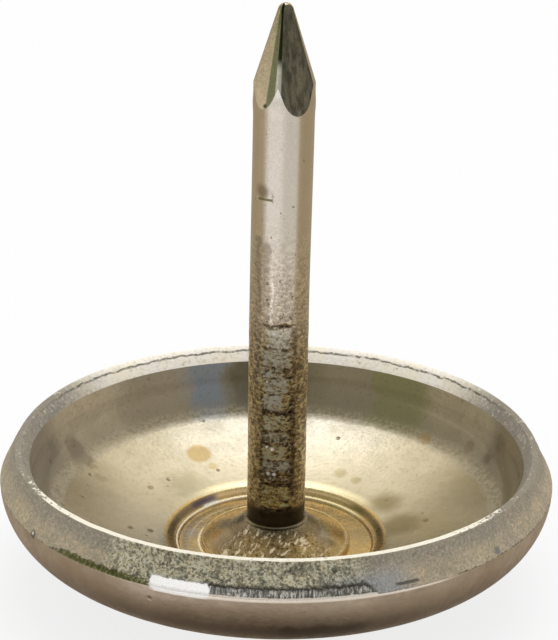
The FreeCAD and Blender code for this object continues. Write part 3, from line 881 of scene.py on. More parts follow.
class SeatFinish(Finish):
    """Heat colours of the weld, in the recess and on the nail's head, with painted highlights on its rings and edges
    and painted shade round the foot of the shank.
    """

    name = "weld_heat_tint_and_highlights"
    rings = (
        Ring(4.55, 0.28, 175.0, 38.0, 22.0, 0.8, (1.0, 0.92, 0.70)),
        Ring(4.30, 0.16, 176.0, 42.0, 14.0, 0.8, (0.98, 0.74, 0.40), 0.7),
        Ring(4.26, 0.05, 158.0, 20.0, 10.0, 0.6, (0.46, 0.32, 0.15)),
        Ring(4.07, 0.17, 148.0, 20.0, 14.0, 0.9, (1.0, 0.86, 0.55), 0.8),
        Ring(4.28, 0.22, 100.0, 26.0, 16.0, 0.75, (0.30, 0.215, 0.11)),
        Ring(4.27, 0.24, -105.0, 26.0, 16.0, 0.85, (0.27, 0.215, 0.165)),
        Ring(3.75, 0.16, -110.0, 30.0, 20.0, 0.5, (0.30, 0.25, 0.20)),
        Ring(3.50, 0.05, -128.0, 30.0, 14.0, 0.7, (1.0, 0.90, 0.68), 0.5),
        Ring(4.02, 0.07, -122.0, 46.0, 8.0, 0.9, (1.0, 0.92, 0.74), 0.9),
        Ring(4.12, 0.07, -165.0, 22.0, 12.0, 0.8, (1.0, 0.84, 0.58), 0.8),
        Ring(4.30, 0.17, -134.0, 6.0, 6.0, 0.9, (0.16, 0.13, 0.20)),
        Ring(4.14, 0.11, -138.0, 4.0, 4.0, 0.8, (0.84, 0.88, 0.96), 0.8),
    )
    marks = (
        Blot((0.50, 0.48, 0.52), (-3.5, 0.5, 1.2), 0.50, 0.5, 0.7, 1.2),
        Blot((0.40, 0.33, 0.28), (-1.95, -0.9, 1.8), 1.15, 0.75, 0.8, 0.6),
        Blot((0.36, 0.34, 0.33), (-1.9, 0.3, 1.85), 0.75, 0.8, 0.7, 0.4),
        Blot((0.44, 0.37, 0.33), (2.0, -0.7, 1.8), 0.8, 0.6, 0.8, 0.6),
        Blot((0.16, 0.14, 0.12), (-1.35, -0.1, 2.1), 0.40, 0.7, 0.6, 0.4),
        Blot((0.24, 0.22, 0.21), (1.50, 0.5, 2.05), 0.55, 0.8, 0.6, 0.4),
        Blot((0.50, 0.49, 0.44), (1.95, -0.1, 1.86), 0.30, 0.7, 0.5, 0.4),
        Blot((0.46, 0.46, 0.42), (2.02, -0.55, 1.80), 0.24, 0.7, 0.5, 0.4),
        Blot((0.20, 0.15, 0.09), (2.35, -0.9, 1.68), 0.40, 0.6, 0.7, 0.6),
        Blot((1.0, 0.80, 0.42), (1.30, -2.0, 1.7), 0.55, 0.6, 0.7, 0.5),
        Blot((0.70, 0.42, 0.18), (-2.45, -0.3, 1.6), 0.50, 0.6, 0.7, 0.5),
        Blot((0.72, 0.42, 0.17), (2.6, 0.0, 1.5), 0.45, 0.6, 0.7, 0.5),
    )

    def paint(self, graph: MetalGraph, where: Value) -> None:
        """Lays the finish."""
        left = graph.sector(-85.0, 20.0, 25.0) * graph.ring(3.6, 0.6)
        colour = graph.layers(
            graph.mix(graph.mottle(1.0, 0.35, 0.65), (0.84, 0.61, 0.30), (0.68, 0.53, 0.32)),
            (graph.mottle(3.5, 0.4, 0.6) * 0.25, (0.4, 0.3, 0.15)),
            (left * 0.6, (0.44, 0.37, 0.33)),
            # Painted shade round the foot of the shank on the head.
            (graph.ring(1.25, 0.75) * 0.8, (0.26, 0.235, 0.21)),
        )
        bright: object = 0.0
        for band in self.rings:
            ring = graph.ring(band.radius, band.width) * graph.sector(band.turned, band.half, band.soft)
            ring = ring * band.strength
            colour = graph.mix(ring, colour, band.colour)
            if band.shine:
                bright = graph.math("MAXIMUM", bright, ring * band.shine)
        # Painted highlight: a light ring along the edge of the nail's head, strongest on the left.
        shifted = graph.vector("ADD", where, (0.12, 0.0, 0.0))
        shown, faint = graph.sector(-112.0, 72.0, 12.0), graph.sector(72.0, 22.0, 14.0)
        rim = graph.ring(3.02, 0.08, shifted) * graph.math("MAXIMUM", shown, faint * 0.5)
        sparkle = graph.noise(where, 6.0, 4.0, 0.75)
        ripple = graph.sector(0.0, 46.0, 26.0) * graph.step(graph.ring(2.1, 1.1), 0.0, 0.5)
        inputs = {"Vector": where, "Rotation": (0.0, 0.0, math.radians(61.0)), "Scale": (2.4, 0.6, 1.0)}
        folds = graph.noise(graph.node("ShaderNodeMapping", inputs, vector_type="TEXTURE"), 4.6, 4.0, 0.65)
        gleam = ripple * graph.step(folds, 0.545, 0.6)
        colour = graph.layers(
            graph.blots(graph.mix(rim * 0.9, colour, (1.0, 0.9, 0.66)), self.marks),
            (ripple * graph.step(sparkle, 0.49, 0.38), (0.26, 0.17, 0.08)),
            (gleam * 0.85, (1.0, 0.86, 0.62)),
        )
        bright = graph.math("MAXIMUM", graph.math("MAXIMUM", bright, rim), gleam)
        heights = [(sparkle, 0.008), (ripple * sparkle, 0.07), (ripple * folds, 0.1)]
        rough, metallic = graph.step(sparkle, 0.35, 0.65, 0.2, 0.34), graph.step(bright, 0.0, 1.0, 1.0, 0.3)
        graph.surface(colour, rough, heights, metallic)


# Height and half width of each groove that the jaws pressed across the nail.
GROOVES: tuple[Point, ...] = (
    (10.88, 0.10), (9.92, 0.09), (9.16, 0.11), (8.72, 0.09), (8.06, 0.10), (7.30, 0.20), (6.50, 0.11),
    (5.93, 0.13), (5.21, 0.09), (4.83, 0.12), (4.18, 0.10), (3.46, 0.11), (3.08, 0.14),
)
# Painted reflection on the point's front ridge: dark at its top and a pale highlight below it.
RIDGE_REFLECTIONS: tuple[Colour, Colour] = ((0.04, 0.045, 0.02), (1.0, 0.99, 0.95))
# Marks where the shank meets the flats: a dark notch with a painted highlight dot in it.
POINT_MARKS_AND_HIGHLIGHT = (
    Blot((0.05, 0.05, 0.03), (-0.70, -0.95, 19.45), 0.13, 0.9, 0.5, 0.5),
    Blot((1.0, 0.98, 0.90), (-0.67, -0.95, 19.50), 0.05, 0.95, 0.5, 0.2),
)


@dataclass(frozen=True)
class Grip:
    """One patch on the front of the nail, seen from the front: a mark left by the jaws that held it, or a painted
    shadow or highlight along them.
    """

    colour: Colour
    low: float
    high: float
    centre: float
    half_width: float
    strength: float = 0.9
    soft: float = 0.06


class NailFinish(Finish):
    """The shank: clean and semi-bright at the top with a painted reflection down its front, pitted below with
    painted shade and highlights in its relief, and dark with tarnish and painted shadow at its foot.
    """

    name = "nail_shank"
    # Painted shade and highlight for the pitted relief: dark in its low parts, light on its high parts.
    painted_relief_shading = (
        (0.36, (0.02, 0.017, 0.014)), (0.44, (0.09, 0.083, 0.072)), (0.495, (0.30, 0.29, 0.28)),
        (0.54, (0.62, 0.61, 0.59)), (0.60, (1.0, 0.98, 0.95)),
    )
    grip_marks_and_painted_light = (
        Grip((0.30, 0.255, 0.225), 8.4, 14.4, -0.82, 0.11, 0.65, 0.16),
        Grip((0.37, 0.31, 0.245), 10.9, 14.2, -0.50, 0.14, 0.8, 0.14),
        # Painted highlight: a thin light line up the front of the shank.
        Grip((1.0, 0.98, 0.93), 10.95, 12.7, -0.27, 0.03, 0.5, 0.05),
        Grip((0.76, 0.69, 0.61), 9.97, 10.82, 0.02, 0.42),
        Grip((0.80, 0.71, 0.60), 9.22, 9.87, -0.10, 0.48),
        Grip((0.50, 0.44, 0.36), 8.72, 9.14, -0.2, 0.42),
        Grip((0.66, 0.58, 0.48), 8.10, 8.68, -0.05, 0.44),
        Grip((0.68, 0.63, 0.55), 7.46, 8.00, -0.22, 0.36),
        Grip((0.17, 0.13, 0.085), 7.16, 7.42, 0.0, 0.6),
        Grip((0.66, 0.53, 0.33), 6.56, 7.12, -0.05, 0.47, 0.8),
        Grip((0.26, 0.24, 0.215), 5.97, 6.44, -0.05, 0.5),
        Grip((0.72, 0.56, 0.34), 5.24, 5.84, -0.05, 0.47, 0.8),
        Grip((0.40, 0.37, 0.37), 4.88, 5.18, 0.0, 0.56),
        Grip((0.11, 0.085, 0.055), 4.18, 4.78, 0.0, 0.62, 0.8),
        Grip((0.44, 0.345, 0.17), 3.52, 4.14, 0.0, 0.5, 0.8),
        # Painted shadow: dark strips along the right edge of the jaw marks.
        Grip((0.09, 0.07, 0.05), 3.6, 8.05, 0.60, 0.11, 0.65),
        Grip((0.10, 0.08, 0.06), 8.70, 9.16, 0.45, 0.20, 0.6, 0.12),
        Grip((0.14, 0.11, 0.08), 8.95, 10.86, 0.60, 0.10, 0.4, 0.12),
        Grip((0.12, 0.095, 0.06), 3.9, 8.0, -0.62, 0.06, 0.6),
        # Painted highlight: a thin light line along the groove near 4.83.
        Grip((1.0, 1.0, 1.0), 4.79, 4.85, -0.05, 0.42, 0.8, 0.03),
        Grip((1.0, 0.68, 0.26), 3.26, 3.42, 0.0, 0.6, 0.8),
    )
    # Painted highlights: small pale glints on the gripped part of the shank.
    painted_glints = (
        Blot((1.0, 1.0, 1.0), (-0.39, -1.09, 10.61), 0.05, 0.9, 0.4, 0.2),
        Blot((1.0, 1.0, 1.0), (-0.42, -1.08, 10.1), 0.06, 0.8, 0.4, 0.2),
        Blot((1.0, 0.97, 0.93), (-0.44, -1.07, 8.58), 0.09),
        Blot((1.0, 0.97, 0.93), (-0.40, -1.09, 8.42), 0.07),
        Blot((1.0, 0.97, 0.93), (-0.36, -1.10, 8.25), 0.06),
        Blot((1.0, 0.98, 0.94), (-0.42, -1.09, 5.84), 0.11),
        Blot((1.0, 0.98, 0.94), (-0.18, -1.13, 5.76), 0.09),
        Blot((1.0, 0.98, 0.94), (-0.35, -1.11, 4.70), 0.12),
        Blot((1.0, 0.98, 0.94), (-0.10, -1.13, 4.66), 0.09),
    )
    marks = (
        Blot((0.32, 0.25, 0.17), (-0.75, -0.90, 16.2), 0.42, 0.7, 0.7, 0.7),
        # Painted highlight at the nick.
        Blot((1.0, 0.90, 0.86), (-0.28, -1.10, 15.93), 0.07, 0.9, 0.5, 0.3),
    )

    def groove_shade_lines(self) -> list[Grip]:
        """Painted shade: dark lines along the bottom of each groove."""
        tone = (0.07, 0.055, 0.04)
        reaches = ((place, 0.35 * reach) for place, reach in GROOVES)
        return [Grip(tone, place - half, place + half, 0.0, 0.56, 0.64, 0.07) for place, half in reaches]

    def patch_group(self) -> Tree:
        """Node group that masks one upright patch on the front of the nail."""
        graph, given = new_group("nail_block", "Vector", "Low High Centre Half Soft")
        x, y, z = graph.axes(given["Vector"])
        wander = (graph.noise(given["Vector"], 3.2, 4.0, 0.7) - 0.5) * 0.5
        middle = (given["Low"] + given["High"]) * 0.5
        reach = (given["High"] - given["Low"]) * 0.5
        up = (abs(z + wander - middle) - reach) / given["Soft"]
        aside = (abs(x + wander - given["Centre"]) - given["Half"]) / given["Soft"]
        mask = graph.step(up, 0.5, -0.5) * graph.step(aside, 0.5, -0.5)
        return graph.close(mask * graph.math("LESS_THAN", y, 0.0))

    def paint(self, graph: MetalGraph, where: Value) -> None:
        """Lays the finish."""
        height = graph.axes(where)[2]
        aged, worn = graph.step(height, 11.4, 8.8), graph.step(height, 16.0, 10.4)
        # Painted reflection: a pale stripe down the front of the shank, darker tan at its sides.
        front = graph.sector(-2.0, 29.0, 9.0)
        side = graph.mix(graph.noise(where, 1.5), (0.58, 0.49, 0.36), (0.66, 0.56, 0.42))
        side = graph.mix(worn * 0.6, side, (0.4, 0.32, 0.22))
        middle = graph.mix(graph.noise(where, 1.2), (0.80, 0.73, 0.66), (0.73, 0.68, 0.60))
        middle = graph.mix(worn * 0.85, middle, (0.47, 0.4, 0.325))
        fleck = graph.noise(where, 7.0, 5.0, 0.75)
        brown = graph.mix(graph.mottle(2.4, 0.38, 0.6), (0.31, 0.22, 0.11), (0.46, 0.35, 0.20))
        brown = graph.mix(graph.mottle(3.2, 0.42, 0.58) * 0.5, brown, (0.17, 0.135, 0.085))
        colour = graph.layers(
            graph.mix(front, side, middle),
            (graph.step(fleck, 0.5, 0.4) * worn * 0.6, (0.22, 0.18, 0.13)),
            (aged * 0.85, brown),
        )
        patch = self.patch_group()
        for grip in (*self.grip_marks_and_painted_light, *self.groove_shade_lines()):
            span = {"Low": grip.low, "High": grip.high}
            mask = graph.place(patch, Vector=where, Centre=grip.centre, Half=grip.half_width, Soft=grip.soft, **span)
            colour = graph.mix(mask * grip.strength, colour, grip.colour)
        # Painted shade and highlight: the colour follows the same relief that bumps the surface.
        relief = graph.noise(graph.scaled(where, (0.75, 0.75, 1.2)), 6.8, 6.0, 0.78)
        shade = graph.scaled(graph.ramp(relief, self.painted_relief_shading), (7.0, 6.8, 6.5))
        weight = aged * graph.step(front, 0.0, 1.0, 0.3, 0.56) + worn * 0.15
        glints = graph.step(fleck, 0.57, 0.63) * aged * front
        # Painted reflection along the front ridge of the point.
        ridge = graph.step(height, 19.35, 20.4) * graph.sector(-8.0, 13.0, 6.0)
        pits = graph.pits(8.5, graph.step(height, 14.0, 10.5, 0.03, 0.8), 0.36)
        colour = graph.layers(
            graph.mix(weight, colour, shade, "MULTIPLY"),
            (glints * 0.9, (1.0, 0.94, 0.84)),
            # Painted shadow: dark at the foot of the shank, where it meets the head.
            (graph.step(height, 3.4, 2.9), (0.085, 0.062, 0.04)),
            (ridge, graph.mix(graph.step(height, 21.2, 20.8), *RIDGE_REFLECTIONS)),
            (pits * 0.34, (0.18, 0.15, 0.12)),
        )
        colour = graph.blots(colour, (*self.painted_glints, *self.marks, *POINT_MARKS_AND_HIGHLIGHT))
        # Metallic drops where the painted glints and highlights lie, so that they show light.
        bright = glints * 0.45
        for spark in self.painted_glints:
            bright = graph.math("MAXIMUM", bright, graph.blot_mask(spark))
        grain = graph.noise(where, 8.0, 5.0, 0.7)
        rough = graph.step(grain, 0.3, 0.7, 0.24, 0.34) + aged * 0.04
        drawn = graph.streaks((1.0, 1.0, 0.04), 6.0)
        scale = fleck * (aged + worn * 0.15)
        heights = [(drawn, 0.006), (grain, 0.004), (pits, -0.02), (scale, 0.12), (relief * aged, 0.18)]
        graph.surface(colour, rough, heights, graph.step(bright, 0.0, 1.0, 1.0, 0.1))


class PointFinish(Finish):
    """The four cut facets of the point, lit and shaded by painted light: pale on three flats, dark grey on the front
    right one.
    """

    name = "nail_point"

    def paint(self, graph: MetalGraph, where: Value) -> None:
        """Lays the finish."""
        height = graph.axes(where)[2]
        tone = graph.mottle(2.2, 0.35, 0.65)
        # Painted light: the facets away from the front right are pale, as if lit.
        pale = graph.mix(tone, (0.80, 0.69, 0.56), (0.90, 0.78, 0.62))
        # Painted reflection: an olive strip along the front left facet's right edge.
        pale = graph.mix(graph.sector(-24.0, 8.5, 4.0), pale, (0.32, 0.34, 0.23))
        brushed = graph.streaks((1.0, 1.0, 0.15), 5.0)
        # Painted shade: the front right facet is dark grey.
        grey = graph.mix(graph.step(brushed, 0.42, 0.6), (0.13, 0.12, 0.10), (0.30, 0.28, 0.23))
        grey = graph.mix(tone * 0.5, grey, (0.28, 0.27, 0.2))
        # Painted reflection on the front ridge, as on the shank.
        lit = graph.mix(graph.step(height, 21.2, 20.7), *RIDGE_REFLECTIONS)
        colour = graph.mix(graph.sector(38.0, 44.0, 2.0), pale, grey)
        colour = graph.mix(graph.sector(-9.0, 4.0, 3.0), colour, lit)
        grain = graph.noise(where, 6.0, 5.0, 0.7)
        rough = graph.step(grain, 0.3, 0.7, 0.22, 0.36)
        graph.surface(graph.blots(colour, POINT_MARKS_AND_HIGHLIGHT), rough, [(grain, 0.012), (brushed, 0.01)])


def dress(
    piece: Piece, finishes: Sequence[type[Finish]], effects: Effects, zone: Callable[[Vector, Vector], Enum]
) -> None:
    """Gives a piece its finishes, and every face the finish of its part.

    Args:
        piece: The piece to dress.
        finishes: Its finishes in slot order.
        effects: Shader groups shared by the finishes.
        zone: Tells the part that a face belongs to, by the face's middle and normal.
    """
    for finish in finishes:
        piece.data.materials.append(finish().build(effects))
    for face in piece.data.polygons:
        face.material_index = zone(face.center, face.normal).value


class DishZone(Enum):
    """Parts of the dish that have a finish of their own, in slot order."""

    DOME = 0
    EDGE = 1
    CREST = 2
    BOWL = 3
    SEAT = 4


@dataclass
class PressedDish:
    """The pressed dish, from the flat under its dome to the recess that holds the nail's head."""

    radius: float = 11.0
    sheet: float = 1.25
    dome: float = 21.6
    corner: float = 2.86
    foot: float = 2.5
    edge_round: float = 0.12
    bevel_run: float = 0.66
    bevel_rise: float = 1.2
    crest_round: float = 0.07
    crest_land: float = 0.2
    outer_dome: float = 20.3
    outer_corner: float = 2.616
    wall_top_radius: float = 9.83
    chamfer_drop: float = 0.47
    seat_height: float = 1.2
    seat_foot: float = 4.05
    seat_lip: float = 4.35
    segments: int = 704
    smooth_below: float = 40.0

    @property
    def dome_centre(self) -> float:
        """Height of the dome's centre."""
        return math.sqrt(self.dome**2 - self.foot**2)

    @property
    def corner_centre(self) -> Point:
        """Radius and height of the corner's centre."""
        radius = self.radius - self.corner
        return radius, self.dome_centre - math.sqrt((self.dome - self.corner) ** 2 - radius**2)

    @property
    def edge_height(self) -> float:
        """Height of the widest edge."""
        return self.corner_centre[1]

    def outline(self) -> Outline:
        """Half section of the dish, from under the axis round to the seat."""
        centre, corner = (0.0, self.dome_centre), self.corner_centre
        under = (0.0, math.sqrt(self.outer_dome**2 - self.foot**2))
        turn_in = (self.radius - self.outer_corner, corner[1])
        edge, crest = self.edge_height, self.edge_height + self.bevel_rise
        join = math.degrees(math.atan2(corner[1] - centre[1], corner[0]))
        meet = math.degrees(math.atan2(turn_in[1] - under[1], turn_in[0]))
        start = math.degrees(math.atan2(-under[1], self.foot))
        inner, lip_run = self.dome - self.sheet, self.seat_lip + 0.25
        lip = math.degrees(math.atan2(-math.sqrt(inner**2 - lip_run**2), lip_run))
        top, tuck = self.radius - self.bevel_run, self.crest_round
        path = Outline(0.0, 0.0).line(self.foot, 0.0, 3)
        path.arc(under, self.outer_dome, start, meet, 16)
        path.arc(turn_in, self.outer_corner, meet, -6.0, 14)
        path.arc((self.radius - self.edge_round, edge - 0.02), self.edge_round, -10.0, 28.0, 4)
        path.line(top + 0.9 * tuck, crest - 0.6 * tuck, 20)
        path.arc((top, crest - tuck), tuck, 25.0, 88.0, 3)
        path.line(top - self.crest_land, crest - 0.01, 4)
        wall, foot = self.wall_top_radius, crest - self.chamfer_drop
        path.line(wall + 0.04, foot + 0.03, 8)
        path.arc((wall + 0.08, foot - 0.06), 0.08, 130.0, 180.0, 3)
        path.line(self.radius - self.sheet, edge + 0.02, 5)
        path.arc(corner, self.corner - self.sheet, 0.0, join, 16)
        path.arc(centre, inner, join, lip, 14)
        path.line(self.seat_lip + 0.04, 1.545, 3)
        path.line(self.seat_foot + 0.12, self.seat_height + 0.12, 5)
        path.arc((self.seat_foot, self.seat_height + 0.05), 0.07, 40.0, 140.0, 4)
        path.line(self.seat_foot - 0.12, self.seat_height, 2)
        return path.line(0.0, self.seat_height, 10)

    def zone(self, centre: Vector, normal: Vector) -> DishZone:
        """Tells which part of the dish a face belongs to.

        Args:
            centre: Middle of the face.
            normal: Direction the face looks in.

        Returns:
            The part.
        """
        radius = math.hypot(centre.x, centre.y)
        outwards = (centre.x * normal.x + centre.y * normal.y) / max(radius, SMALLEST)
        chamfer_foot = self.edge_height + self.bevel_rise - self.chamfer_drop - 0.06
        if centre.z > self.edge_height and outwards > 0.55:
            return DishZone.EDGE
        if centre.z > chamfer_foot and normal.z > 0.35:
            return DishZone.CREST
        if normal.z < 0.0 or outwards > 0.5:
            return DishZone.DOME
        return DishZone.SEAT if radius < self.seat_lip + 0.2 else DishZone.BOWL

    def shape_wear(self, piece: Piece) -> None:
        """Presses in what trimming, plating and use left on the rim."""
        edge, rise = self.edge_height, self.bevel_rise

        def outer(place: Vector, normal: Vector) -> bool:
            return place.z > edge and place.x * normal.x + place.y * normal.y > 0.0

        def drawn(place: Vector) -> float:
            return step(abs(bearing(place.x, place.y) + 4.0), 28.0, 18.0)

        def band(place: Vector, normal: Vector) -> float:
            height = place.z - edge
            if not outer(place, normal) or height > 0.95:
                return 0.0
            return drawn(place) * (step(height, 0.04, 0.42) if height < 0.42 else step(height, 0.95, 0.42))

        def torn(place: Vector, normal: Vector) -> float:
            if not outer(place, normal):
                return 0.0
            height = place.z - edge
            low = 0.44 * drawn(place) + 0.05
            return step(height, low, low + 0.1) * step(height, rise + 0.02, rise - 0.15)

        def crust(place: Vector, normal: Vector) -> float:
            return torn(place, normal) * step(abs(bearing(place.x, place.y) + 8.0), 34.0, 16.0)

        def crest(place: Vector, normal: Vector) -> float:
            return step(place.z, edge + rise - 0.25, edge + rise - 0.05)

        def lifted(place: Vector, normal: Vector) -> float:
            back = step(abs(bearing(place.x, place.y)), 85.0, 135.0)
            top = step(place.z, edge + rise - 0.12, edge + rise - 0.02)
            return back * top * step(math.hypot(place.x, place.y), 10.12, 10.32)

        press(piece, weigh(piece, "lifted", lifted), 0.11, "Z")
        press(piece, weigh(piece, "band", band), 0.14)
        press(piece, weigh(piece, "torn", torn), 0.08, pattern=clouds("torn_grain", 0.3, 3))
        press(piece, weigh(piece, "crust", crust), 0.2, pattern=clouds("crust", 0.26, 3), middle=0.6)
        press(piece, weigh(piece, "crest", crest), 0.05, "Z", clouds("crest_wobble", 0.9, 3), 0.8)

    def build(self, effects: Effects) -> Piece:
        """Models and dresses the dish.

        Args:
            effects: Shader groups shared by the finishes.

        Returns:
            The finished piece.
        """
        piece = turn("glide_dish", self.outline(), self.segments)
        dress(piece, (DomeFinish, EdgeFinish, CrestFinish, BowlFinish, SeatFinish), effects, self.zone)
        self.shape_wear(piece)
        finish_piece(piece, self.smooth_below)
        return piece


class NailZone(Enum):
    """Parts of the nail that have a finish of their own, in slot order."""

    HEAD = 0
    SHANK = 1
    POINT = 2


@dataclass
class WireNail:
    """The nail: low cone head, gripped shank and four-sided point."""

    base: float = 1.2
    head_radius: float = 3.05
    head_edge: float = 0.12
    neck: float = 2.33
    shank: float = 1.16
    tip: float = 23.1
    ball: float = 0.3
    ridge_slope: float = 0.315
    facet_slope: float = 0.2495
    apex: float = 23.87
    facets: tuple[float, ...] = (27.0, -44.0, -153.0, 136.0)
    facets_from: float = 18.5
    nick: float = 15.95
    upset: float = 19.4
    segments: int = 160
    smooth_below: float = 24.0

    def outline(self) -> Outline:
        """Half section of the nail from the middle of its flat underside to the tip."""
        shoulder = self.apex - self.shank / self.ridge_slope
        lean = math.degrees(math.atan(self.ridge_slope))
        centre = self.tip - self.ball
        path = Outline(0.0, self.base).line(self.head_radius, self.base, 4)
        rim = self.base + self.head_edge
        path.line(self.head_radius, self.base + 0.05)
        path.arc((self.head_radius - 0.07, rim), 0.07, -20.0, 120.0, 5)
        path.line(self.head_radius - 0.16, rim + 0.02)
        path.line(1.9, 1.83, 16)
        path.line(self.shank + 0.13, self.neck - 0.05, 10)
        path.arc((self.shank + 0.12, self.neck + 0.07), 0.12, -80.0, -180.0, 4)
        path.line(self.shank, shoulder, 230)
        slope = math.radians(lean)
        path.line(self.ball * math.cos(slope), centre + self.ball * math.sin(slope), 34)
        return path.arc((0.0, centre), self.ball, lean, 90.0, 8)

    def zone(self, centre: Vector, normal: Vector) -> NailZone:
        """Tells which part of the nail a face belongs to.

        Args:
            centre: Middle of the face.
            normal: Direction the face looks in.

        Returns:
            The part; a flat of the point is known by the way it looks.
        """
        if centre.z < self.neck + 0.02:
            return NailZone.HEAD
        if centre.z < self.facets_from:
            return NailZone.SHANK
        turned = min(abs(math.remainder(bearing(normal.x, normal.y) - facet, 360.0)) for facet in self.facets)
        rise = abs(normal.z - math.sin(math.atan(self.facet_slope)))
        return NailZone.POINT if turned < 0.6 and rise < 0.01 else NailZone.SHANK

    def cut_facets(self, piece: Piece) -> None:
        """Slices the four flats off the point."""
        lean = math.atan(self.facet_slope)
        for facet in self.facets:
            turned = math.radians(facet)
            outwards = Vector((math.sin(turned), -math.cos(turned), 0.0))
            normal = outwards * math.cos(lean) + Vector((0.0, 0.0, math.sin(lean)))
            activate(piece)
            bpy.ops.object.mode_set(mode="EDIT")
            bpy.ops.mesh.select_all(action="SELECT")
            bpy.ops.mesh.bisect(
                plane_co=(0.0, 0.0, self.apex), plane_no=tuple(normal),
                use_fill=True, clear_outer=True, threshold=1e-5,
            )
            bpy.ops.object.mode_set(mode="OBJECT")

    def shape_wear(self, piece: Piece) -> None:
        """Presses in the die's grip marks, the swelling they cause and a nick higher up."""

        def swollen(place: Vector, normal: Vector) -> float:
            if place.z < self.neck + 0.1 or math.hypot(place.x, place.y) > self.shank + 0.05:
                return 0.0
            return step(place.z, 12.5, 9.0)

        def gripped(place: Vector, normal: Vector) -> float:
            top = GROOVES[0][0]
            if place.y > 0.0 or not self.neck + 0.4 < place.z < top + 0.3:
                return 0.0
            across = step(abs(place.x), 0.66, 0.56)
            wobble = 0.05 * math.sin(6.0 * place.x + 2.6 * place.z)
            groove = max(hump(place.z + wobble, height, reach) for height, reach in GROOVES)
            flat = 0.35 * step(place.z, top + 0.08, top - 0.04)
            return across * max(flat, groove)

        def scaled(place: Vector, normal: Vector) -> float:
            return step(place.z, 12.0, 9.5) * step(place.z, self.neck + 0.1, self.neck + 0.6)

        def nicked(place: Vector, normal: Vector) -> float:
            front = step(abs(bearing(place.x, place.y) + 34.0), 24.0, 14.0)
            drop = place.z - self.nick
            return front * (step(drop, -0.09, 0.0) if drop < 0.0 else step(drop, 0.5, 0.0))

        def upset(place: Vector, normal: Vector) -> float:
            return hump(place.z, self.upset, 0.5)

        def leaning(place: Vector, normal: Vector) -> float:
            return step(place.z, 11.0, 20.0)

        press(piece, weigh(piece, "leaning", leaning), 0.06, "X")
        press(piece, weigh(piece, "swollen", swollen), 0.01)
        press(piece, weigh(piece, "gripped", gripped), -0.13)
        press(piece, weigh(piece, "scaled", scaled), 0.05, pattern=clouds("scale", 0.35, 4))
        press(piece, weigh(piece, "nicked", nicked), -0.05)
        press(piece, weigh(piece, "upset", upset), 0.02)

    def build(self, effects: Effects) -> Piece:
        """Models and dresses the nail.

        Args:
            effects: Shader groups shared by the finishes.

        Returns:
            The finished piece.
        """
        piece = turn("glide_nail", self.outline(), self.segments)
        self.shape_wear(piece)
        self.cut_facets(piece)
        dress(piece, (SeatFinish, NailFinish, PointFinish), effects, self.zone)
        finish_piece(piece, self.smooth_below)
        return piece


@dataclass(frozen=True)
class Panel:
    """One patch of the surroundings that the metal mirrors; angles are in degrees."""

    colour: Colour
    bearing: float
    elevation: float
    half_width: float
    half_height: float
    soft: float
    stops: Stops | None = None


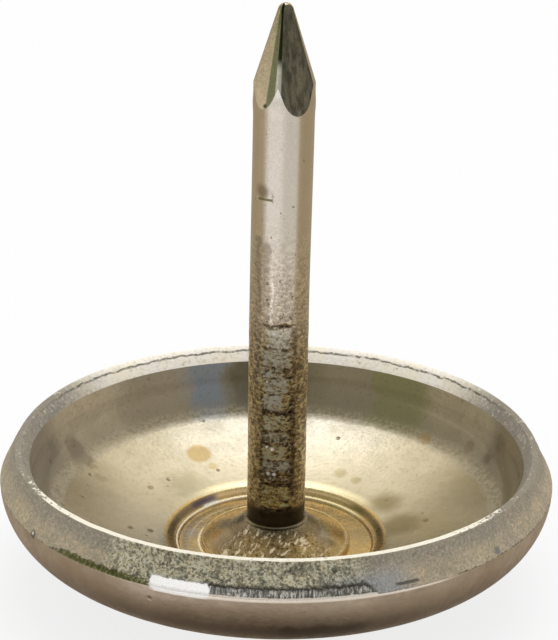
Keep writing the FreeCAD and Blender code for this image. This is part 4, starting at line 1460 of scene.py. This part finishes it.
@dataclass
class Studio:
    """Camera, pale floor, lamp and surroundings."""

    camera_place: tuple[float, float, float] = (0.0, -59.638, 32.083)
    pitch_down: float = 19.6553
    roll: float = 0.9695
    focal_pixels: float = 1621.52
    picture_height: float = 640.0
    film: float = 36.0
    around: Stops = (
        (-90.0, (0.10, 0.08, 0.06)),
        (-72.0, (0.17, 0.14, 0.11)),
        (-52.0, (0.33, 0.28, 0.22)),
        (-38.0, (0.40, 0.34, 0.27)),
        (-20.0, (0.50, 0.45, 0.36)),
        (5.0, (0.47, 0.42, 0.33)),
        (45.0, (0.50, 0.45, 0.34)),
        (75.0, (0.30, 0.29, 0.18)),
        (90.0, (0.24, 0.23, 0.14)),
    )
    panels: tuple[Panel, ...] = (
        Panel((0.23, 0.24, 0.13), -85.0, 43.0, 30.0, 30.0, 10.0),
        Panel((0.64, 0.59, 0.48), -86.0, 0.0, 13.0, 9.0, 4.0),
        Panel((0.22, 0.20, 0.14), -26.0, 38.0, 28.0, 40.0, 10.0),
        Panel((0.16, 0.16, 0.12), 10.0, 38.0, 12.0, 40.0, 10.0),
        Panel((0.25, 0.27, 0.28), 38.0, 38.0, 16.0, 36.0, 10.0),
        Panel((0.36, 0.32, 0.23), 72.0, 38.0, 14.0, 36.0, 10.0),
        Panel((0.97, 0.95, 0.93), -30.0, -19.0, 31.0, 16.0, 3.0),
        Panel((0.73, 0.71, 0.66), 33.0, -19.0, 30.0, 16.0, 3.0),
        Panel(
            (2.0, 2.0, 2.0), 180.0, 38.0, 34.0, 37.0, 3.0,
            (
                (0.0, (0.22, 0.20, 0.155)),
                (15.0, (0.28, 0.25, 0.18)),
                (28.0, (0.33, 0.30, 0.22)),
                (36.0, (0.40, 0.365, 0.265)),
                (43.0, (0.49, 0.455, 0.33)),
                (50.0, (0.54, 0.50, 0.36)),
                (57.0, (0.78, 0.74, 0.58)),
                (62.0, (1.0, 1.0, 0.92)),
                (76.0, (0.98, 1.0, 1.0)),
            ),
        ),
    )

    def add_camera(self) -> None:
        """Sets up the photograph's view."""
        data = bpy.data.cameras.new("photograph_view")
        data.sensor_fit = "VERTICAL"
        data.sensor_height = self.film
        data.lens = self.focal_pixels * self.film / self.picture_height
        data.clip_start = 0.001
        data.clip_end = 20.0
        camera = bpy.data.objects.new("photograph_view", data)
        bpy.context.scene.collection.objects.link(camera)
        pitch, roll = math.radians(self.pitch_down), math.radians(self.roll)
        forward = Vector((0.0, math.cos(pitch), -math.sin(pitch)))
        side, top = Vector((1.0, 0.0, 0.0)), Vector((0.0, math.sin(pitch), math.cos(pitch)))
        right = side * math.cos(roll) + top * math.sin(roll)
        up = top * math.cos(roll) - side * math.sin(roll)
        turned = Matrix((right, up, -forward)).transposed().to_4x4()
        camera.matrix_world = Matrix.Translation(Vector(self.camera_place) * METRES_PER_MM) @ turned
        bpy.context.scene.camera = camera

    def add_floor(self) -> None:
        """A plain pale floor that keeps a soft shadow."""
        deselect()
        bpy.ops.mesh.primitive_plane_add(size=3.0, location=(0.0, 0.0, -FLOOR_GAP))
        floor = bpy.context.object
        floor.name = "studio_floor"
        material = bpy.data.materials.new("pale_floor")
        material.use_nodes = True
        graph = Graph(material.node_tree)
        shader = material.node_tree.nodes["Principled BSDF"]
        shader.inputs["Base Color"].default_value = (0.8, 0.8, 0.8, 1.0)
        shader.inputs["Roughness"].default_value = 0.9
        glow = graph.node("ShaderNodeEmission", {"Color": (1.0, 1.0, 1.0)})
        seen = graph.node("ShaderNodeLightPath", {}, "Is Camera Ray") * 0.8
        blend = graph.node("ShaderNodeMixShader", {0: seen, 1: Value(graph, shader.outputs[0]), 2: glow})
        graph.feed(material.node_tree.nodes["Material Output"].inputs["Surface"], blend)
        floor.data.materials.append(material)
        floor.visible_glossy = False

    def add_lamp(self) -> None:
        """One large soft lamp overhead."""
        data = bpy.data.lights.new("softbox", "AREA")
        data.shape = "DISK"
        data.size = 0.5
        data.energy = 1.6
        lamp = bpy.data.objects.new("softbox", data)
        lamp.location = (0.05, 0.1, 0.6)
        lamp.rotation_euler = (math.radians(-10.0), math.radians(5.0), 0.0)
        lamp.visible_glossy = False
        bpy.context.scene.collection.objects.link(lamp)

    def add_surroundings(self) -> None:
        """White for the eye, plain soft light for the floor, and a studio for the metal to mirror."""
        world = bpy.data.worlds.new("studio")
        bpy.context.scene.world = world
        world.use_nodes = True
        world.node_tree.nodes.clear()
        graph = Graph(world.node_tree)
        direction = graph.node("ShaderNodeTexCoord", {}, "Generated")
        height = graph.math("ARCSINE", graph.axes(direction)[2]) * (180.0 / math.pi)
        mirrored = graph.ramp(height, self.around, -90.0, 90.0)
        mask = self.panel_group()
        for panel in self.panels:
            share = graph.place(
                mask, Direction=direction, Elevation=height, Bearing=panel.bearing, Centre=panel.elevation,
                Wide=panel.half_width, Tall=panel.half_height, Soft=panel.soft,
            )
            colour = panel.colour
            if panel.stops is not None:
                colour = graph.scaled(graph.ramp(height, panel.stops, 0.0, 90.0), panel.colour)
            mirrored = graph.mix(share, mirrored, colour)
        shown = graph.mix(graph.node("ShaderNodeLightPath", {}, "Is Glossy Ray"), (0.85, 0.85, 0.85), mirrored)
        shown = graph.mix(graph.node("ShaderNodeLightPath", {}, "Is Camera Ray"), shown, (1.0, 1.0, 1.0))
        back = graph.node("ShaderNodeBackground", {"Color": shown})
        graph.feed(graph.add("ShaderNodeOutputWorld").inputs["Surface"], back)

    def panel_group(self) -> Tree:
        """Node group that masks one soft-edged panel of the studio."""
        graph, given = new_group("studio_panel", "Direction", "Elevation Bearing Centre Wide Tall Soft")
        x, y, _ = graph.axes(given["Direction"])
        aside = graph.turned_from(x, y, given["Bearing"]) - given["Wide"]
        above = abs(given["Elevation"] - given["Centre"]) - given["Tall"]
        sides = 1.0 - graph.step(aside / given["Soft"], 0.0, 1.0)
        ends = 1.0 - graph.step(above / given["Soft"], 0.0, 1.0)
        return graph.close(sides * ends)

    def build(self) -> None:
        """Sets everything up."""
        bpy.context.scene.view_settings.view_transform = "Standard"
        self.add_camera()
        self.add_floor()
        self.add_lamp()
        self.add_surroundings()


def attach(piece: Piece, node: str) -> None:
    """Puts a finished piece in the place of the node it stands for.

    Args:
        piece: The finished piece.
        node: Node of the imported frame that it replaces.
    """
    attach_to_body(piece, "root")
    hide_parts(node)
    LOG.info("%s stands for %s", piece.name, node)


def main() -> None:
    """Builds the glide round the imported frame."""
    logging.basicConfig(level=logging.INFO, format="%(name)s: %(message)s")
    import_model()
    Studio().build()
    effects = Effects()
    attach(PressedDish().build(effects), "dish")
    attach(WireNail().build(effects), "nail")


if __name__ == "__main__":
    main()
